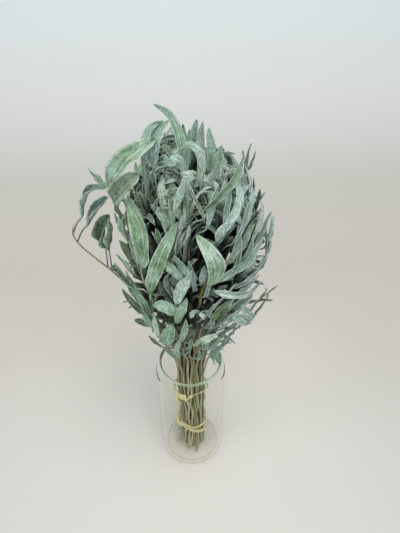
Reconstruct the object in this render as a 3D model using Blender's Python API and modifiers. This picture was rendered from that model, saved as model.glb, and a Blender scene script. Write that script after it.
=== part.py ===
"""A dried bunch of garden sage, bound with raffia and standing in a clear glass vase.

Metres, +Z up. The origin is the middle of the vase's flat underside. Every sprig is one
grown piece, a square stem with its leaves, and is one object. The sprigs stand on the
vase's floor, are gathered by the raffia and fan out above the vase's mouth.
"""

import math
import random

import bmesh
import bpy
from mathutils import Matrix, Vector
from mathutils.bvhtree import BVHTree

GAP = 0.0003
MERGE_DISTANCE = 0.00001

# The vase. Its corners, bead and shoulder are rounded in a few steps each.
VASE_HEIGHT = 0.165
VASE_RADIUS = 0.040
VASE_WALL = 0.0022
VASE_FLOOR = 0.0045
VASE_FOOT_CORNER = 0.0090
VASE_INNER_CORNER = 0.0050
VASE_STEPS = 36
SHOULDER_HEIGHT = 0.0150
RIM_RADIUS = 0.0365
RIM_BEAD = 0.0034
INNER_CORNER_STEPS = 3
FOOT_CORNER_STEPS = 4
BEAD_STEPS = 4
SHOULDER_STEPS = (0.0, 0.35, 0.65, 1.0)

# The stems: how they are gathered, spread at the foot and fan out above the vase
BUNCH_COUNT = 50
OUTER_COUNT = 16
GATHER_RADIUS = 0.0163
FOOT_SPREAD = 0.0037
FOOT_SPREAD_HEIGHT = 0.035
FAN_START = 0.150
FAN_HEIGHT = 0.185
FAN_SPREAD = 0.043
STEM_THICK = 0.0017
STEM_THIN = 0.0009
STEM_TAPER = 1.5
STEM_POINTS = 9
GOLDEN_ANGLE = math.pi * (3 - math.sqrt(5))

# The tips and the leaves. A leaf near the tip is shorter, narrower and closer to its stem.
INNER_TIP = 0.401
OUTER_TIP = 0.340
TIP_FALL = 2.2
TIP_VARIATION = 0.013
OUTER_LEAF_START = 0.186
INNER_LEAF_START = 0.330
LEAF_STEP = 0.036
LEAF_PAIR_STAGGER = 0.0045
LAST_PAIR_BELOW_TIP = 0.002
LEAF_BELOW_TIP = 0.003
LEAF_LARGEST = 1.08
LEAF_SHORTENING = 0.30
LEAF_NARROWING = 0.20
LEAF_CLOSING = 0.35
LEAF_LENGTH = (0.046, 0.062)
LEAF_WIDTH = (0.0085, 0.0125)
LEAF_THICKNESS = 0.0022
LEAF_FULLNESS = 1.15
LEAF_BEND = (-0.10, 0.22)
LEAF_TILT = (math.radians(14), math.radians(34))
LEAF_TRIES = 10
LEAF_TRY_TURN = math.radians(35)
LEAF_TRY_CLOSE = 0.06
LEAF_CLEARANCE = 0.0005

# The raffia
RAFFIA_THICK = 0.0010
RAFFIA_LOWER = (0.040, 0.053)
RAFFIA_UPPER = 0.113
RAFFIA_UPPER_RISE = 0.0045
RAFFIA_TURN_POINTS = 16
RAFFIA_RISE_POINTS = 5
RAFFIA_SIDE = math.radians(215)
KNOT_ANGLE = math.radians(250)
KNOT_SIZE = (0.0042, 0.0026, 0.0030)

# Sprigs that leave the round of the bunch. Each has the side of the bundle that it starts on in degrees,
# the size of its leaves against the others', and its way above the ties. The cut stem is bare.
LONE_SPRIGS = {
    "drooping_sprig": (
        182,
        0.55,
        (
            (-0.028, -0.002, 0.200),
            (-0.054, -0.005, 0.272),
            (-0.081, -0.008, 0.312),
            (-0.097, -0.010, 0.338),
            (-0.093, -0.012, 0.355),
        ),
    ),
    "tall_left_sprig": (
        222,
        0.80,
        ((-0.022, -0.024, 0.222), (-0.034, -0.037, 0.288), (-0.044, -0.042, 0.355), (-0.056, -0.040, 0.402)),
    ),
    "low_right_sprig": (
        338,
        0.60,
        ((0.025, -0.011, 0.190), (0.040, -0.015, 0.216), (0.060, -0.018, 0.252), (0.073, -0.020, 0.280)),
    ),
    "shrivelled_sprig": (
        12,
        0.55,
        ((0.030, 0.005, 0.220), (0.050, 0.007, 0.290), (0.051, 0.010, 0.345), (0.048, 0.012, 0.405)),
    ),
    "cut_stem": (
        283,
        0.0,
        ((0.005, -0.026, 0.205), (0.008, -0.045, 0.272), (0.012, -0.057, 0.318), (0.030, -0.060, 0.355)),
    ),
}


def clear_scene():
    """Removes whatever the scene holds."""
    for obj in list(bpy.data.objects):
        bpy.data.objects.remove(obj, do_unlink=True)


def new_collection(name):
    """A collection linked to the scene."""
    made = bpy.data.collections.new(name)
    bpy.context.scene.collection.children.link(made)
    return made


def material(name, colour, roughness, transmission=0.0):
    """A Principled material, not metallic."""
    made = bpy.data.materials.new(name)
    made.use_nodes = True
    shader = made.node_tree.nodes["Principled BSDF"]
    shader.inputs["Base Color"].default_value = (*colour, 1.0)
    shader.inputs["Roughness"].default_value = roughness
    shader.inputs["Metallic"].default_value = 0.0
    shader.inputs["Transmission Weight"].default_value = transmission
    made.diffuse_color = (*colour, 1.0)
    return made


def mesh_object(name, mesh, collection, finish):
    """An object for a mesh, in a collection, with one material."""
    obj = bpy.data.objects.new(name, mesh)
    collection.objects.link(obj)
    if finish and not mesh.materials:
        mesh.materials.append(finish)
    return obj


def helper(obj):
    """Marks an object as a cutter or another guide, which isn't part of the model."""
    obj.hide_render = True
    obj.display_type = "WIRE"
    return obj


def smooth_step(t):
    """0 to 1 with flat ends."""
    t = min(max(t, 0.0), 1.0)
    return t * t * (3 - 2 * t)


# The vase


def arc(centre, radius, start, end, count):
    """Points on an arc in the profile's plane, from one angle in degrees to another."""
    angles = [math.radians(start + (end - start) * k / count) for k in range(count + 1)]
    return [(centre[0] + radius * math.cos(a), centre[1] + radius * math.sin(a)) for a in angles]


def shoulder(body_radius, neck_radius, top):
    """The rounded shoulder's points, from the body up to the neck."""
    low = VASE_HEIGHT - SHOULDER_HEIGHT
    points = []
    for t in SHOULDER_STEPS:
        radius = body_radius + (neck_radius - body_radius) * smooth_step(t)
        points.append((radius, low + (top - low) * t))
    return points


def vase_profile():
    """Half the vase's section, from the floor's middle, up inside, over the rim and down outside."""
    inner = VASE_RADIUS - VASE_WALL
    bead = RIM_BEAD / 2
    bead_top = VASE_HEIGHT - bead
    neck = RIM_RADIUS - RIM_BEAD
    points = [(0.0, VASE_FLOOR)]
    corner = inner - VASE_INNER_CORNER, VASE_FLOOR + VASE_INNER_CORNER
    foot = VASE_RADIUS - VASE_FOOT_CORNER, VASE_FOOT_CORNER
    points += arc(corner, VASE_INNER_CORNER, -90, 0, INNER_CORNER_STEPS)
    points += shoulder(inner, neck, bead_top)
    points += arc((RIM_RADIUS - bead, bead_top), bead, 180, 0, BEAD_STEPS)[1:-1]
    points += reversed(shoulder(VASE_RADIUS, RIM_RADIUS, bead_top))
    points += arc(foot, VASE_FOOT_CORNER, 0, -90, FOOT_CORNER_STEPS)
    points.append((0.0, 0.0))
    return points


def build_vase(collection, finish):
    """The glass vase: the profile turned about Z."""
    points = vase_profile()
    mesh = bpy.data.meshes.new("glass_vase")
    edges = [(k, k + 1) for k in range(len(points) - 1)]
    mesh.from_pydata([(r, 0.0, z) for r, z in points], edges, [])
    vase = mesh_object("glass_vase", mesh, collection, finish)
    turn = vase.modifiers.new("turn", "SCREW")
    turn.steps = turn.render_steps = VASE_STEPS
    turn.use_merge_vertices = True
    turn.merge_threshold = MERGE_DISTANCE
    turn.use_smooth_shade = True
    return vase


# Tubes


def tube_mesh(name, points, thicknesses, resolution):
    """A tube along points, as a closed mesh. thicknesses holds each point's radius."""
    curve = bpy.data.curves.new(name, "CURVE")
    curve.dimensions = "3D"
    curve.bevel_depth = 1.0
    curve.bevel_resolution = resolution
    curve.use_fill_caps = True
    spline = curve.splines.new("POLY")
    spline.points.add(len(points) - 1)
    for place, point, thickness in zip(spline.points, points, thicknesses):
        place.co = (*point, 1.0)
        place.radius = thickness
    guide = bpy.data.objects.new(name + "_guide", curve)
    bpy.context.scene.collection.objects.link(guide)
    bpy.context.view_layer.update()
    graph = bpy.context.evaluated_depsgraph_get()
    mesh = bpy.data.meshes.new_from_object(guide.evaluated_get(graph))
    bpy.data.objects.remove(guide)
    bm = bmesh.new()
    bm.from_mesh(mesh)
    bmesh.ops.remove_doubles(bm, verts=bm.verts, dist=MERGE_DISTANCE)
    bm.to_mesh(mesh)
    bm.free()
    return mesh


# The sprigs' routes


def bundle_radius(height):
    """How far from the axis the outermost stems' centres are at a height."""
    foot = FOOT_SPREAD * max(0.0, 1 - height / FOOT_SPREAD_HEIGHT)
    fan = FAN_SPREAD * smooth_step((height - FAN_START) / FAN_HEIGHT)
    return GATHER_RADIUS + foot + fan


def bundle_places():
    """(share of the radius, angle) of each stem: an even sunflower spread over the bundle's disc."""
    return [
        (math.sqrt((k + 0.5) / BUNCH_COUNT), k * GOLDEN_ANGLE % math.tau)
        for k in range(BUNCH_COUNT)
    ]


def fan_point(share, angle, height):
    """Where a stem of the round bunch is at a height."""
    radius = share * bundle_radius(height)
    return Vector((radius * math.cos(angle), radius * math.sin(angle), height))


def held_points(share, angle):
    """A stem's points from its foot to just above the ties, where it is straight."""
    heights = (VASE_FLOOR + GAP, FOOT_SPREAD_HEIGHT, RAFFIA_UPPER, FAN_START)
    return [fan_point(share, angle, height) for height in heights]


def round_route(share, angle, top):
    """A stem's points in the round of the bunch."""
    held = held_points(share, angle)
    rest = STEM_POINTS - len(held)
    heights = [FAN_START + (top - FAN_START) * (k + 1) / rest for k in range(rest)]
    return held + [fan_point(share, angle, h) for h in heights]


def lone_route(share, angle, way):
    """A stem's points where it leaves the bunch: a Catmull-Rom curve through its own way's points."""
    held = held_points(share, angle)
    through = [held[-2], held[-1]] + [Vector(p) for p in way]
    through.append(2 * through[-1] - through[-2])
    points = held[:]
    for before, start, end, after in zip(through, through[1:], through[2:], through[3:]):
        for t in (0.5, 1.0):
            points.append(
                start
                + (end - before) * (t / 2)
                + (2 * before - 5 * start + 4 * end - after) * (t ** 2 / 2)
                + (3 * start - before - 3 * end + after) * (t ** 3 / 2)
            )
    return points


def thickness_along(count):
    """The stem's half diagonal at each point, thinner towards the tip."""
    return [STEM_THICK + (STEM_THIN - STEM_THICK) * (k / (count - 1)) ** STEM_TAPER for k in range(count)]


def route_point(route, height):
    """(place, unit direction) where a route first reaches a height."""
    for low, high in zip(route, route[1:]):
        if low.z <= height <= high.z:
            share = (height - low.z) / (high.z - low.z)
            return low.lerp(high, share), (high - low).normalized()
    raise ValueError("the route doesn't reach this height")


# Leaves


def leaf_mesh(length, width, thickness, bend, placed):
    """A closed leaf blade: a flat lens with its base at 0, bent lengthwise."""
    bm = bmesh.new()
    bmesh.ops.create_uvsphere(bm, u_segments=4, v_segments=3, radius=1.0)
    for vert in bm.verts:
        along = (vert.co.z + 1) / 2
        vert.co.x *= LEAF_FULLNESS * width / 2
        vert.co.y *= LEAF_FULLNESS * thickness / 2
        vert.co.y += bend * length * along * along
        vert.co.z = along * length
    bmesh.ops.transform(bm, matrix=placed, verts=bm.verts)
    return bm


def leaf_frame(place, along, out, tilt):
    """A leaf's matrix: +Z runs along the leaf, tilted from the stem towards out, and +Y faces the stem."""
    side = along.cross(out).normalized()
    out = side.cross(along).normalized()
    way = (along * math.cos(tilt) + out * math.sin(tilt)).normalized()
    face = way.cross(side).normalized()
    return Matrix.Translation(place) @ Matrix((side, face, way)).transposed().to_4x4()


class Crowd:
    """The surfaces already in place, each with the name of the piece it belongs to."""

    def __init__(self):
        self.trees = []

    @staticmethod
    def tree_of(bm):
        """(search tree, lowest corner, highest corner) of a mesh."""
        points = [v.co.copy() for v in bm.verts]
        faces = [[v.index for v in f.verts] for f in bm.faces]
        low = Vector([min(p[k] for p in points) for k in range(3)])
        high = Vector([max(p[k] for p in points) for k in range(3)])
        return BVHTree.FromPolygons(points, faces), low, high

    def add(self, owner, bm):
        """Keeps a mesh's surface under its owner's name."""
        bm.verts.index_update()
        self.trees.append((owner, *self.tree_of(bm)))

    def meets(self, bm, owner=None, own_leaves=None):
        """True if the mesh meets a surface that isn't its owner's, or one of its owner's leaves."""
        bm.verts.index_update()
        tree, low, high = self.tree_of(bm)
        for name, other, other_low, other_high in self.trees:
            if name == owner:
                continue
            if any(low[k] > other_high[k] or high[k] < other_low[k] for k in range(3)):
                continue
            if tree.overlap(other):
                return True
        return any(tree.overlap(other) for other, _, _ in own_leaves or ())


def as_bmesh(mesh):
    """A bmesh with a mesh's faces."""
    bm = bmesh.new()
    bm.from_mesh(mesh)
    return bm


def grow_leaves(name, route, start, size, crowd, dice):
    """All the leaves of one sprig in one bmesh: opposite pairs, each turned a quarter from the last.

    A leaf that would meet another sprig, the vase or the raffia is turned or closed towards its
    stem, and is left off where no such try clears its neighbours.
    """
    grown, own = bmesh.new(), []
    top = max(point.z for point in route)
    height, turn = start + dice.uniform(0, LEAF_STEP / 2), dice.uniform(0, math.pi)
    while height < top - LAST_PAIR_BELOW_TIP:
        late = (height - start) / (top - start)
        for side in (0, 1):
            at = min(height + side * LEAF_PAIR_STAGGER, top - LEAF_BELOW_TIP)
            place, along = route_point(route, at)
            length = dice.uniform(*LEAF_LENGTH) * (LEAF_LARGEST - LEAF_SHORTENING * late) * size
            width = dice.uniform(*LEAF_WIDTH) * (1 - LEAF_NARROWING * late) * size
            bend = dice.uniform(*LEAF_BEND)
            tilt = dice.uniform(*LEAF_TILT) * (1 - LEAF_CLOSING * late)
            for attempt in range(LEAF_TRIES):
                angle = turn + side * math.pi + attempt * LEAF_TRY_TURN
                out = along.orthogonal().normalized()
                out.rotate(Matrix.Rotation(angle, 3, along))
                closed_in = 1 - LEAF_TRY_CLOSE * attempt
                frame = leaf_frame(place, along, out, tilt * closed_in)
                clear = leaf_mesh(
                    length, width + 2 * LEAF_CLEARANCE, LEAF_THICKNESS + 2 * LEAF_CLEARANCE, bend, frame
                )
                blocked = crowd.meets(clear, name, own)
                clear.free()
                if blocked:
                    continue
                leaf = leaf_mesh(length, width, LEAF_THICKNESS, bend, frame)
                leaf.verts.index_update()
                own.append(crowd.tree_of(leaf))
                kept = bpy.data.meshes.new("leaf")
                leaf.to_mesh(kept)
                leaf.free()
                grown.from_mesh(kept)
                bpy.data.meshes.remove(kept)
                break
        height += LEAF_STEP
        turn += math.pi / 2
    crowd.add(name, grown)
    return grown


def join_leaves(stem, grown, helpers, finish):
    """Joins a sprig's leaves to its stem with a Boolean union."""
    mesh = bpy.data.meshes.new(stem.name + "_leaves")
    grown.to_mesh(mesh)
    grown.free()
    leaves = helper(mesh_object(stem.name + "_leaves", mesh, helpers, finish))
    join = stem.modifiers.new("leaves", "BOOLEAN")
    join.operation = "UNION"
    join.object = leaves


# The raffia


def around(angle, height, away=0.0):
    """A point on the raffia's way round the bundle."""
    radius = bundle_radius(height) + STEM_THICK + GAP + RAFFIA_THICK + away
    return Vector((radius * math.cos(angle), radius * math.sin(angle), height))


def raffia_route():
    """One strand: two turns low down, up one side, and one sloping turn high up that ends in the knot."""
    low, high = RAFFIA_LOWER
    lower_points = 2 * RAFFIA_TURN_POINTS
    points = []
    for k in range(lower_points + 1):
        t = k / lower_points
        points.append(around(RAFFIA_SIDE - 2 * math.tau * (1 - t), low + (high - low) * t))
    for k in range(1, RAFFIA_RISE_POINTS):
        t = smooth_step(k / RAFFIA_RISE_POINTS)
        points.append(around(RAFFIA_SIDE, high + (RAFFIA_UPPER - high) * t))
    last_turn = math.tau + KNOT_ANGLE - RAFFIA_SIDE
    upper_points = round(RAFFIA_TURN_POINTS * last_turn / math.tau)
    for k in range(upper_points + 1):
        t = k / upper_points
        points.append(around(RAFFIA_SIDE + last_turn * t, RAFFIA_UPPER + RAFFIA_UPPER_RISE * t))
    return points


def build_raffia(collection, helpers, finish):
    """The raffia strand with its knot joined to it."""
    route = raffia_route()
    mesh = tube_mesh("raffia_tie", route, [RAFFIA_THICK] * len(route), 1)
    tie = mesh_object("raffia_tie", mesh, collection, finish)
    bm = bmesh.new()
    bmesh.ops.create_uvsphere(bm, u_segments=8, v_segments=6, radius=1.0)
    bmesh.ops.scale(bm, vec=KNOT_SIZE, verts=bm.verts)
    place = around(KNOT_ANGLE, RAFFIA_UPPER + RAFFIA_UPPER_RISE, KNOT_SIZE[1] - RAFFIA_THICK)
    turned = Matrix.Rotation(KNOT_ANGLE + math.pi / 2, 4, "Z")
    bmesh.ops.transform(bm, matrix=Matrix.Translation(place) @ turned, verts=bm.verts)
    knot_mesh = bpy.data.meshes.new("knot")
    bm.to_mesh(knot_mesh)
    bm.free()
    knot = helper(mesh_object("knot", knot_mesh, helpers, finish))
    join = tie.modifiers.new("knot", "BOOLEAN")
    join.operation = "UNION"
    join.object = knot
    return tie


# The whole


def angle_between(a, b):
    """The angle between two directions, however many turns apart they are."""
    return abs((a - b + math.pi) % math.tau - math.pi)


def sprig_routes(dice):
    """{name: (route, its lowest leaves' height, its leaves' size)}.

    The lone sprigs take outer places, each on its own side of the bundle.
    """
    places = bundle_places()
    outer = sorted(range(BUNCH_COUNT), key=lambda k: -places[k][0])[:OUTER_COUNT]
    routes = {}
    for name, (side, size, way) in LONE_SPRIGS.items():
        taken = min(outer, key=lambda k: angle_between(places[k][1], math.radians(side)))
        outer.remove(taken)
        routes[name] = lone_route(*places[taken], way), way[0][2], size
        places[taken] = None
    number = 1
    for place in places:
        if place is None:
            continue
        share, angle = place
        top = INNER_TIP + (OUTER_TIP - INNER_TIP) * share ** TIP_FALL
        top += dice.uniform(-TIP_VARIATION, TIP_VARIATION)
        lowest = INNER_LEAF_START + (OUTER_LEAF_START - INNER_LEAF_START) * share ** 2
        routes[f"sprig_{number:02d}"] = round_route(share, angle, top), lowest, 1.0
        number += 1
    return routes


def main():
    """Builds the vase, the raffia and the sprigs."""
    clear_scene()
    dice = random.Random(11)
    model = new_collection("sage_bunch")
    helpers = new_collection("helpers")
    helpers.hide_render = True
    glass = material("clear_glass", (0.93, 0.97, 0.94), 0.02, 1.0)
    sage = material("dried_sage", (0.42, 0.50, 0.43), 0.85)
    straw = material("raffia", (0.62, 0.55, 0.33), 0.8)
    crowd = Crowd()
    vase = build_vase(model, glass)
    tie = build_raffia(model, helpers, straw)
    bpy.context.view_layer.update()
    graph = bpy.context.evaluated_depsgraph_get()
    for obj in (vase, tie):
        crowd.add(obj.name, as_bmesh(obj.evaluated_get(graph).to_mesh()))
    routes = sprig_routes(dice)
    stems = {}
    for name, (route, _, _) in routes.items():
        mesh = tube_mesh(name, route, thickness_along(len(route)), 0)
        stems[name] = mesh_object(name, mesh, model, sage)
        crowd.add(name, as_bmesh(mesh))
    for name, (route, lowest, size) in routes.items():
        if size:
            grown = grow_leaves(name, route, lowest, size, crowd, dice)
            join_leaves(stems[name], grown, helpers, sage)


main()
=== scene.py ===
"""The looks of a dried bunch of garden sage, tied with raffia and standing in a clear glass vase.

Metres, +Z up. Each sprig is a square stem carried along its own way, with its leaves, and takes
the place of the plain sprig of the same name. The vase and the raffia are made finely here too.
"""

import math
import random

import bpy
import numpy as np
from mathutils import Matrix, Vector


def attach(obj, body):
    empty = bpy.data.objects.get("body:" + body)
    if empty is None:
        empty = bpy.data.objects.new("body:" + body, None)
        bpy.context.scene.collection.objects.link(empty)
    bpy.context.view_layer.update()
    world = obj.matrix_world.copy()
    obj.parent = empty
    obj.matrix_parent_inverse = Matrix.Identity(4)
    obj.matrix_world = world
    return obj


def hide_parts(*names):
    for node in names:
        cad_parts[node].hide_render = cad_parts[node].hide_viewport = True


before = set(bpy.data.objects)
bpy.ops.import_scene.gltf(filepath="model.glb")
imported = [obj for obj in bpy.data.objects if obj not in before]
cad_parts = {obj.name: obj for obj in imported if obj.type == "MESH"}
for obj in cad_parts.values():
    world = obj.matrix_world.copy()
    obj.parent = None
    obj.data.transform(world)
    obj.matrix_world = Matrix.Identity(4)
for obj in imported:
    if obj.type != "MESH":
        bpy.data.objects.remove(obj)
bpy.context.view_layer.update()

GAP = 0.0003

# The vase
VASE_HEIGHT = 0.165
VASE_RADIUS = 0.040
VASE_WALL = 0.0022
VASE_FLOOR = 0.0045
VASE_FOOT_CORNER = 0.0090
VASE_INNER_CORNER = 0.0050
VASE_STEPS = 144
BASE_RING = 0.0325
SHOULDER_HEIGHT = 0.0150
RIM_RADIUS = 0.0365
RIM_BEAD = 0.0034

# How the stems are gathered and fan out
BUNCH_COUNT = 50
GATHER_RADIUS = 0.0163
FOOT_SPREAD = 0.0037
FOOT_SPREAD_HEIGHT = 0.035
FAN_START = 0.150
FAN_HEIGHT = 0.185
FAN_SPREAD = 0.043
STEM_THICK = 0.00168
STEM_THIN = 0.00080
STEM_RING = 0.0045
STEM_SIDES = 12
STEM_WANDER = 0.0006
GOLDEN_ANGLE = math.pi * (3 - math.sqrt(5))
INNER_TIP = 0.401
OUTER_TIP = 0.340
TIP_VARIATION = 0.013
OUTER_LEAF_START = 0.186
INNER_LEAF_START = 0.280

# The bunch's outline: its mean radius at a height, and how much fuller it is on its full side
OUTLINE_HEIGHTS = (
    0.165, 0.187, 0.212, 0.234, 0.255, 0.293, 0.338, 0.356, 0.370, 0.384, 0.396, 0.407, 0.418
)
OUTLINE_RADII = (
    0.021, 0.030, 0.043, 0.055, 0.062, 0.063, 0.062, 0.061, 0.057, 0.049, 0.039, 0.026, 0.006
)
OUTLINE_SKEW = 0.17
FULL_SIDE = math.radians(45)
HIGHEST_LEAF = 0.411
LOWEST_LEAF = 0.176
FARTHEST_BACK = 0.0705
# How fast the highest leaves fall away to the right, and from where
TOP_FALL = 0.6
TOP_FALL_START = 0.018

# Leaves
LEAF_AROUND = 8
LEAF_RINGS = 13
SHOWN_AROUND = 20
SHOWN_RINGS = 34
LEAF_STEP = 0.017
LEAF_TRIES = 18
TRY_RINGS = 9
SAMPLE_SIDE = 0.0018
HOOKED_SHARE = 0.33
# Stems within this share of the bundle's radius end in rolled leaves like fingers, which rise higher
FINGER_SHARE = 0.62
FINGER_RISE = 0.004
LEAF_MOST_CROWDED = 5.0
# What a leaf's place costs: how crowded it is, how far past the outline, less how far out it reaches
CROWDED_COST = 6
OUTSIDE_COST = 8
REACH_GAIN = 3
MOST_CROWDED_COUNTED = 3.0
# How full a place is made by a stem, a listed leaf, and a clearing
STEM_FILL = 0.6
SHOWN_FILL = 0.8
CLEARING_FILL = 4.0
CLEAR_DEPTH = 0.020
LEAF_THICK = 0.00034
LEAST_HALF_WIDTH = 0.00065
# How the listed leaves' half widths, tones and hues are scaled
SHOWN_WIDTH = 0.92
SHOWN_TONE = 0.94
SHOWN_HUE = 0.92
SIZE_HEIGHTS = (0.18, 0.24, 0.29, 0.40)
LEAF_SIZES = (0.42, 0.62, 0.92, 1.10)
CLEAR_SIDE = np.array([0.0, -0.8, 0.6])
# Places round the bunch's head that grown leaves keep out of: two ends and a radius in millimetres
CLEARINGS = (
    ((34, 12, 428), (66, 30, 384), 19),
    ((66, 22, 386), (74, 14, 352), 15),
    ((60, 8, 402), (66, 12, 378), 11),
    ((-44, -8, 434), (-48, 30, 422), 17),
    ((8, 30, 424), (36, 30, 414), 20),
    ((-12, 4, 434), (-11, 34, 422), 14),
    ((-64, -8, 418), (-62, 12, 408), 13),
    ((-80, -20, 330), (-62, -24, 400), 12),
    ((11, -4, 426), (12, 52, 384), 7),
    ((4, -2, 424), (4, 52, 384), 5),
    ((21, -6, 420), (23, 52, 378), 6),
)

# The raffia's strands as (side in degrees, height, distance out from the stems) in millimetres,
# each with its plies as (width, thickness, rise, distance out). A strand of full turns comes
# round to where it starts.
RAFFIA = {
    "upper_turn": (
        (
            (247, 118, 1.2), (285, 123, 0.3), (320, 123, 0.2), (352, 120, 0.2),
            (400, 117, 0.2), (450, 116, 0.2), (520, 118, 0.4), (607, 119, 1.0),
        ),
        ((2.1, 1.3, 0.0, 0.0), (1.1, 0.9, 0.8, 0.5)),
    ),
    "bulge": (
        ((186, 119, 0.1), (196, 119, 0.9), (210, 114, 1.6), (222, 107, 1.5), (232, 102, 0.6)),
        ((4.4, 1.0, 0.0, 0.0), (3.4, 0.9, 2.0, 0.6), (3.0, 0.9, -2.2, 0.4), (1.4, 0.8, 0.4, 1.1)),
    ),
    "bulge_over": (
        ((198, 121, 0.4), (214, 119, 1.5), (234, 117, 1.8), (250, 118, 1.4)),
        ((3.0, 1.0, 0.0, 0.0), (2.0, 0.9, -1.8, 0.3)),
    ),
    "side_run": (
        ((230, 104, 1.2), (222, 94, 0.5), (216, 82, 0.9), (209, 70, 0.5), (220, 62, 0.7), (244, 65, 1.2)),
        ((1.9, 1.3, 0.0, 0.0),),
    ),
    "lower_turn": (
        (
            (244, 66, 1.2), (275, 58, 0.3), (315, 56, 0.2), (355, 57, 0.2),
            (420, 52, 0.2), (490, 54, 0.3), (560, 60, 0.3), (604, 65, 1.0),
        ),
        ((1.9, 1.2, 0.0, 0.0), (0.9, 0.8, -0.9, 0.4)),
    ),
    "frayed_turn": (
        (
            (248, 62, 1.2), (262, 55, 0.5), (290, 48, 0.3), (325, 40, 0.2), (355, 37, 0.2),
            (420, 38, 0.2), (490, 45, 0.3), (560, 53, 0.4), (606, 61, 1.0),
        ),
        ((3.2, 0.9, 0.0, 0.0), (2.0, 0.8, 2.1, 0.4), (2.2, 0.8, -2.0, 0.3), (0.8, 0.7, 0.9, 0.8)),
    ),
    "upper_end": (
        ((250, 117, 1.8), (258, 112, 2.2), (264, 106, 1.0)),
        ((1.5, 0.7, 0.0, 0.0), (0.9, 0.6, 0.8, 0.3)),
    ),
    "lower_end": (
        ((243, 66, 1.8), (236, 71, 2.6), (233, 75, 1.6)),
        ((1.4, 0.7, 0.0, 0.0), (0.8, 0.6, -0.8, 0.4)),
    ),
    "loose_end": (((246, 62, 1.6), (252, 56, 2.4), (250, 50, 1.4)), ((1.2, 0.6, 0.0, 0.0),)),
}
# Knots: side in degrees, height and size in millimetres
KNOTS = ((248, 118, 3.1), (244, 65, 2.3), (223, 94, 1.3), (214, 79, 1.1))

# Sprigs that leave the round of the bunch: the side of the bundle that each starts on, in degrees,
# and its way above the ties.
LONE_SPRIGS = {
    "drooping_sprig": (
        182,
        (
            (-0.028, -0.002, 0.200),
            (-0.054, -0.005, 0.272),
            (-0.081, -0.008, 0.312),
            (-0.097, -0.010, 0.338),
            (-0.093, -0.012, 0.355),
        ),
    ),
    "tall_left_sprig": (
        222,
        ((-0.022, -0.024, 0.222), (-0.034, -0.037, 0.288), (-0.044, -0.042, 0.355), (-0.056, -0.040, 0.402)),
    ),
    "low_right_sprig": (
        338,
        ((0.025, -0.011, 0.190), (0.040, -0.015, 0.216), (0.060, -0.018, 0.252), (0.073, -0.020, 0.280)),
    ),
    "shrivelled_sprig": (
        12,
        ((0.030, 0.005, 0.220), (0.050, 0.007, 0.290), (0.052, 0.010, 0.345), (0.050, 0.012, 0.398)),
    ),
    "cut_stem": (
        283,
        ((0.005, -0.026, 0.205), (0.008, -0.045, 0.272), (0.012, -0.057, 0.318), (0.030, -0.060, 0.355)),
    ),
}


# Leaves that stand out on the outside. Each has the points of its middle line in
# millimetres from where its blade starts, and its half width in millimetres, roll (positive with
# the edges outwards), fold, tone and hue.
FRONT_LEAVES = (
    # Broad pale leaves at the front
    (((-37, -47, 334), (-33, -51, 349), (-34, -50, 371), (-43, -38, 392)), 8.6, 0.8, 0.25, 0.62, 0.74),
    (((-31, -52, 310), (-27, -56, 330), (-19, -61, 357), (-7, -60, 381)), 6.8, 0.6, 0.1, 0.6, 0.84),
    (((17, -62, 325), (20, -66, 342), (15, -68, 360), (6, -63, 373)), 7.4, -0.9, 0.25, 0.76, 0.74),
)
TALL_LEFT_LEAVES = (
    # The tall sprig at the left: a scroll, a long curved leaf and a small one
    (((-52, -44, 391), (-42, -49, 404), (-32, -48, 413)), 10.0, 1.9, 0.2, 0.84, 1.0),
    (((-54, -40, 397), (-46, -39, 411), (-34, -35, 422), (-20, -30, 430)), 8.4, 1.3, 0.3, 0.66, 0.66),
    (((-56, -40, 399), (-61, -40, 407), (-67, -41, 414)), 5.5, 0.6, 0.2, 0.5, 0.62),
    (((-42, -41, 350), (-48, -38, 362), (-51, -34, 377)), 4.6, 1.0, 0.2, 0.5, 0.45),
)
DROOPING_LEAVES = (
    # The drooping branch's curled leaves
    (((-86, -12, 360), (-81, -13, 374), (-73, -15, 385), (-61, -18, 388)), 5.2, 2.0, 0.25, 0.62, 0.1),
    (((-83, -13, 352), (-77, -15, 360), (-71, -17, 369), (-61, -19, 381)), 6.6, 1.9, 0.25, 0.3, 0.12),
    (((-72, -9, 328), (-71, -12, 342), (-68, -14, 354), (-63, -15, 363)), 9.0, 2.0, 0.25, 0.34, 0.62),
    (((-69, -10, 326), (-65, -13, 338), (-62, -15, 350), (-64, -17, 361)), 8.6, 2.0, 0.25, 0.24, 0.66),
)
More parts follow.
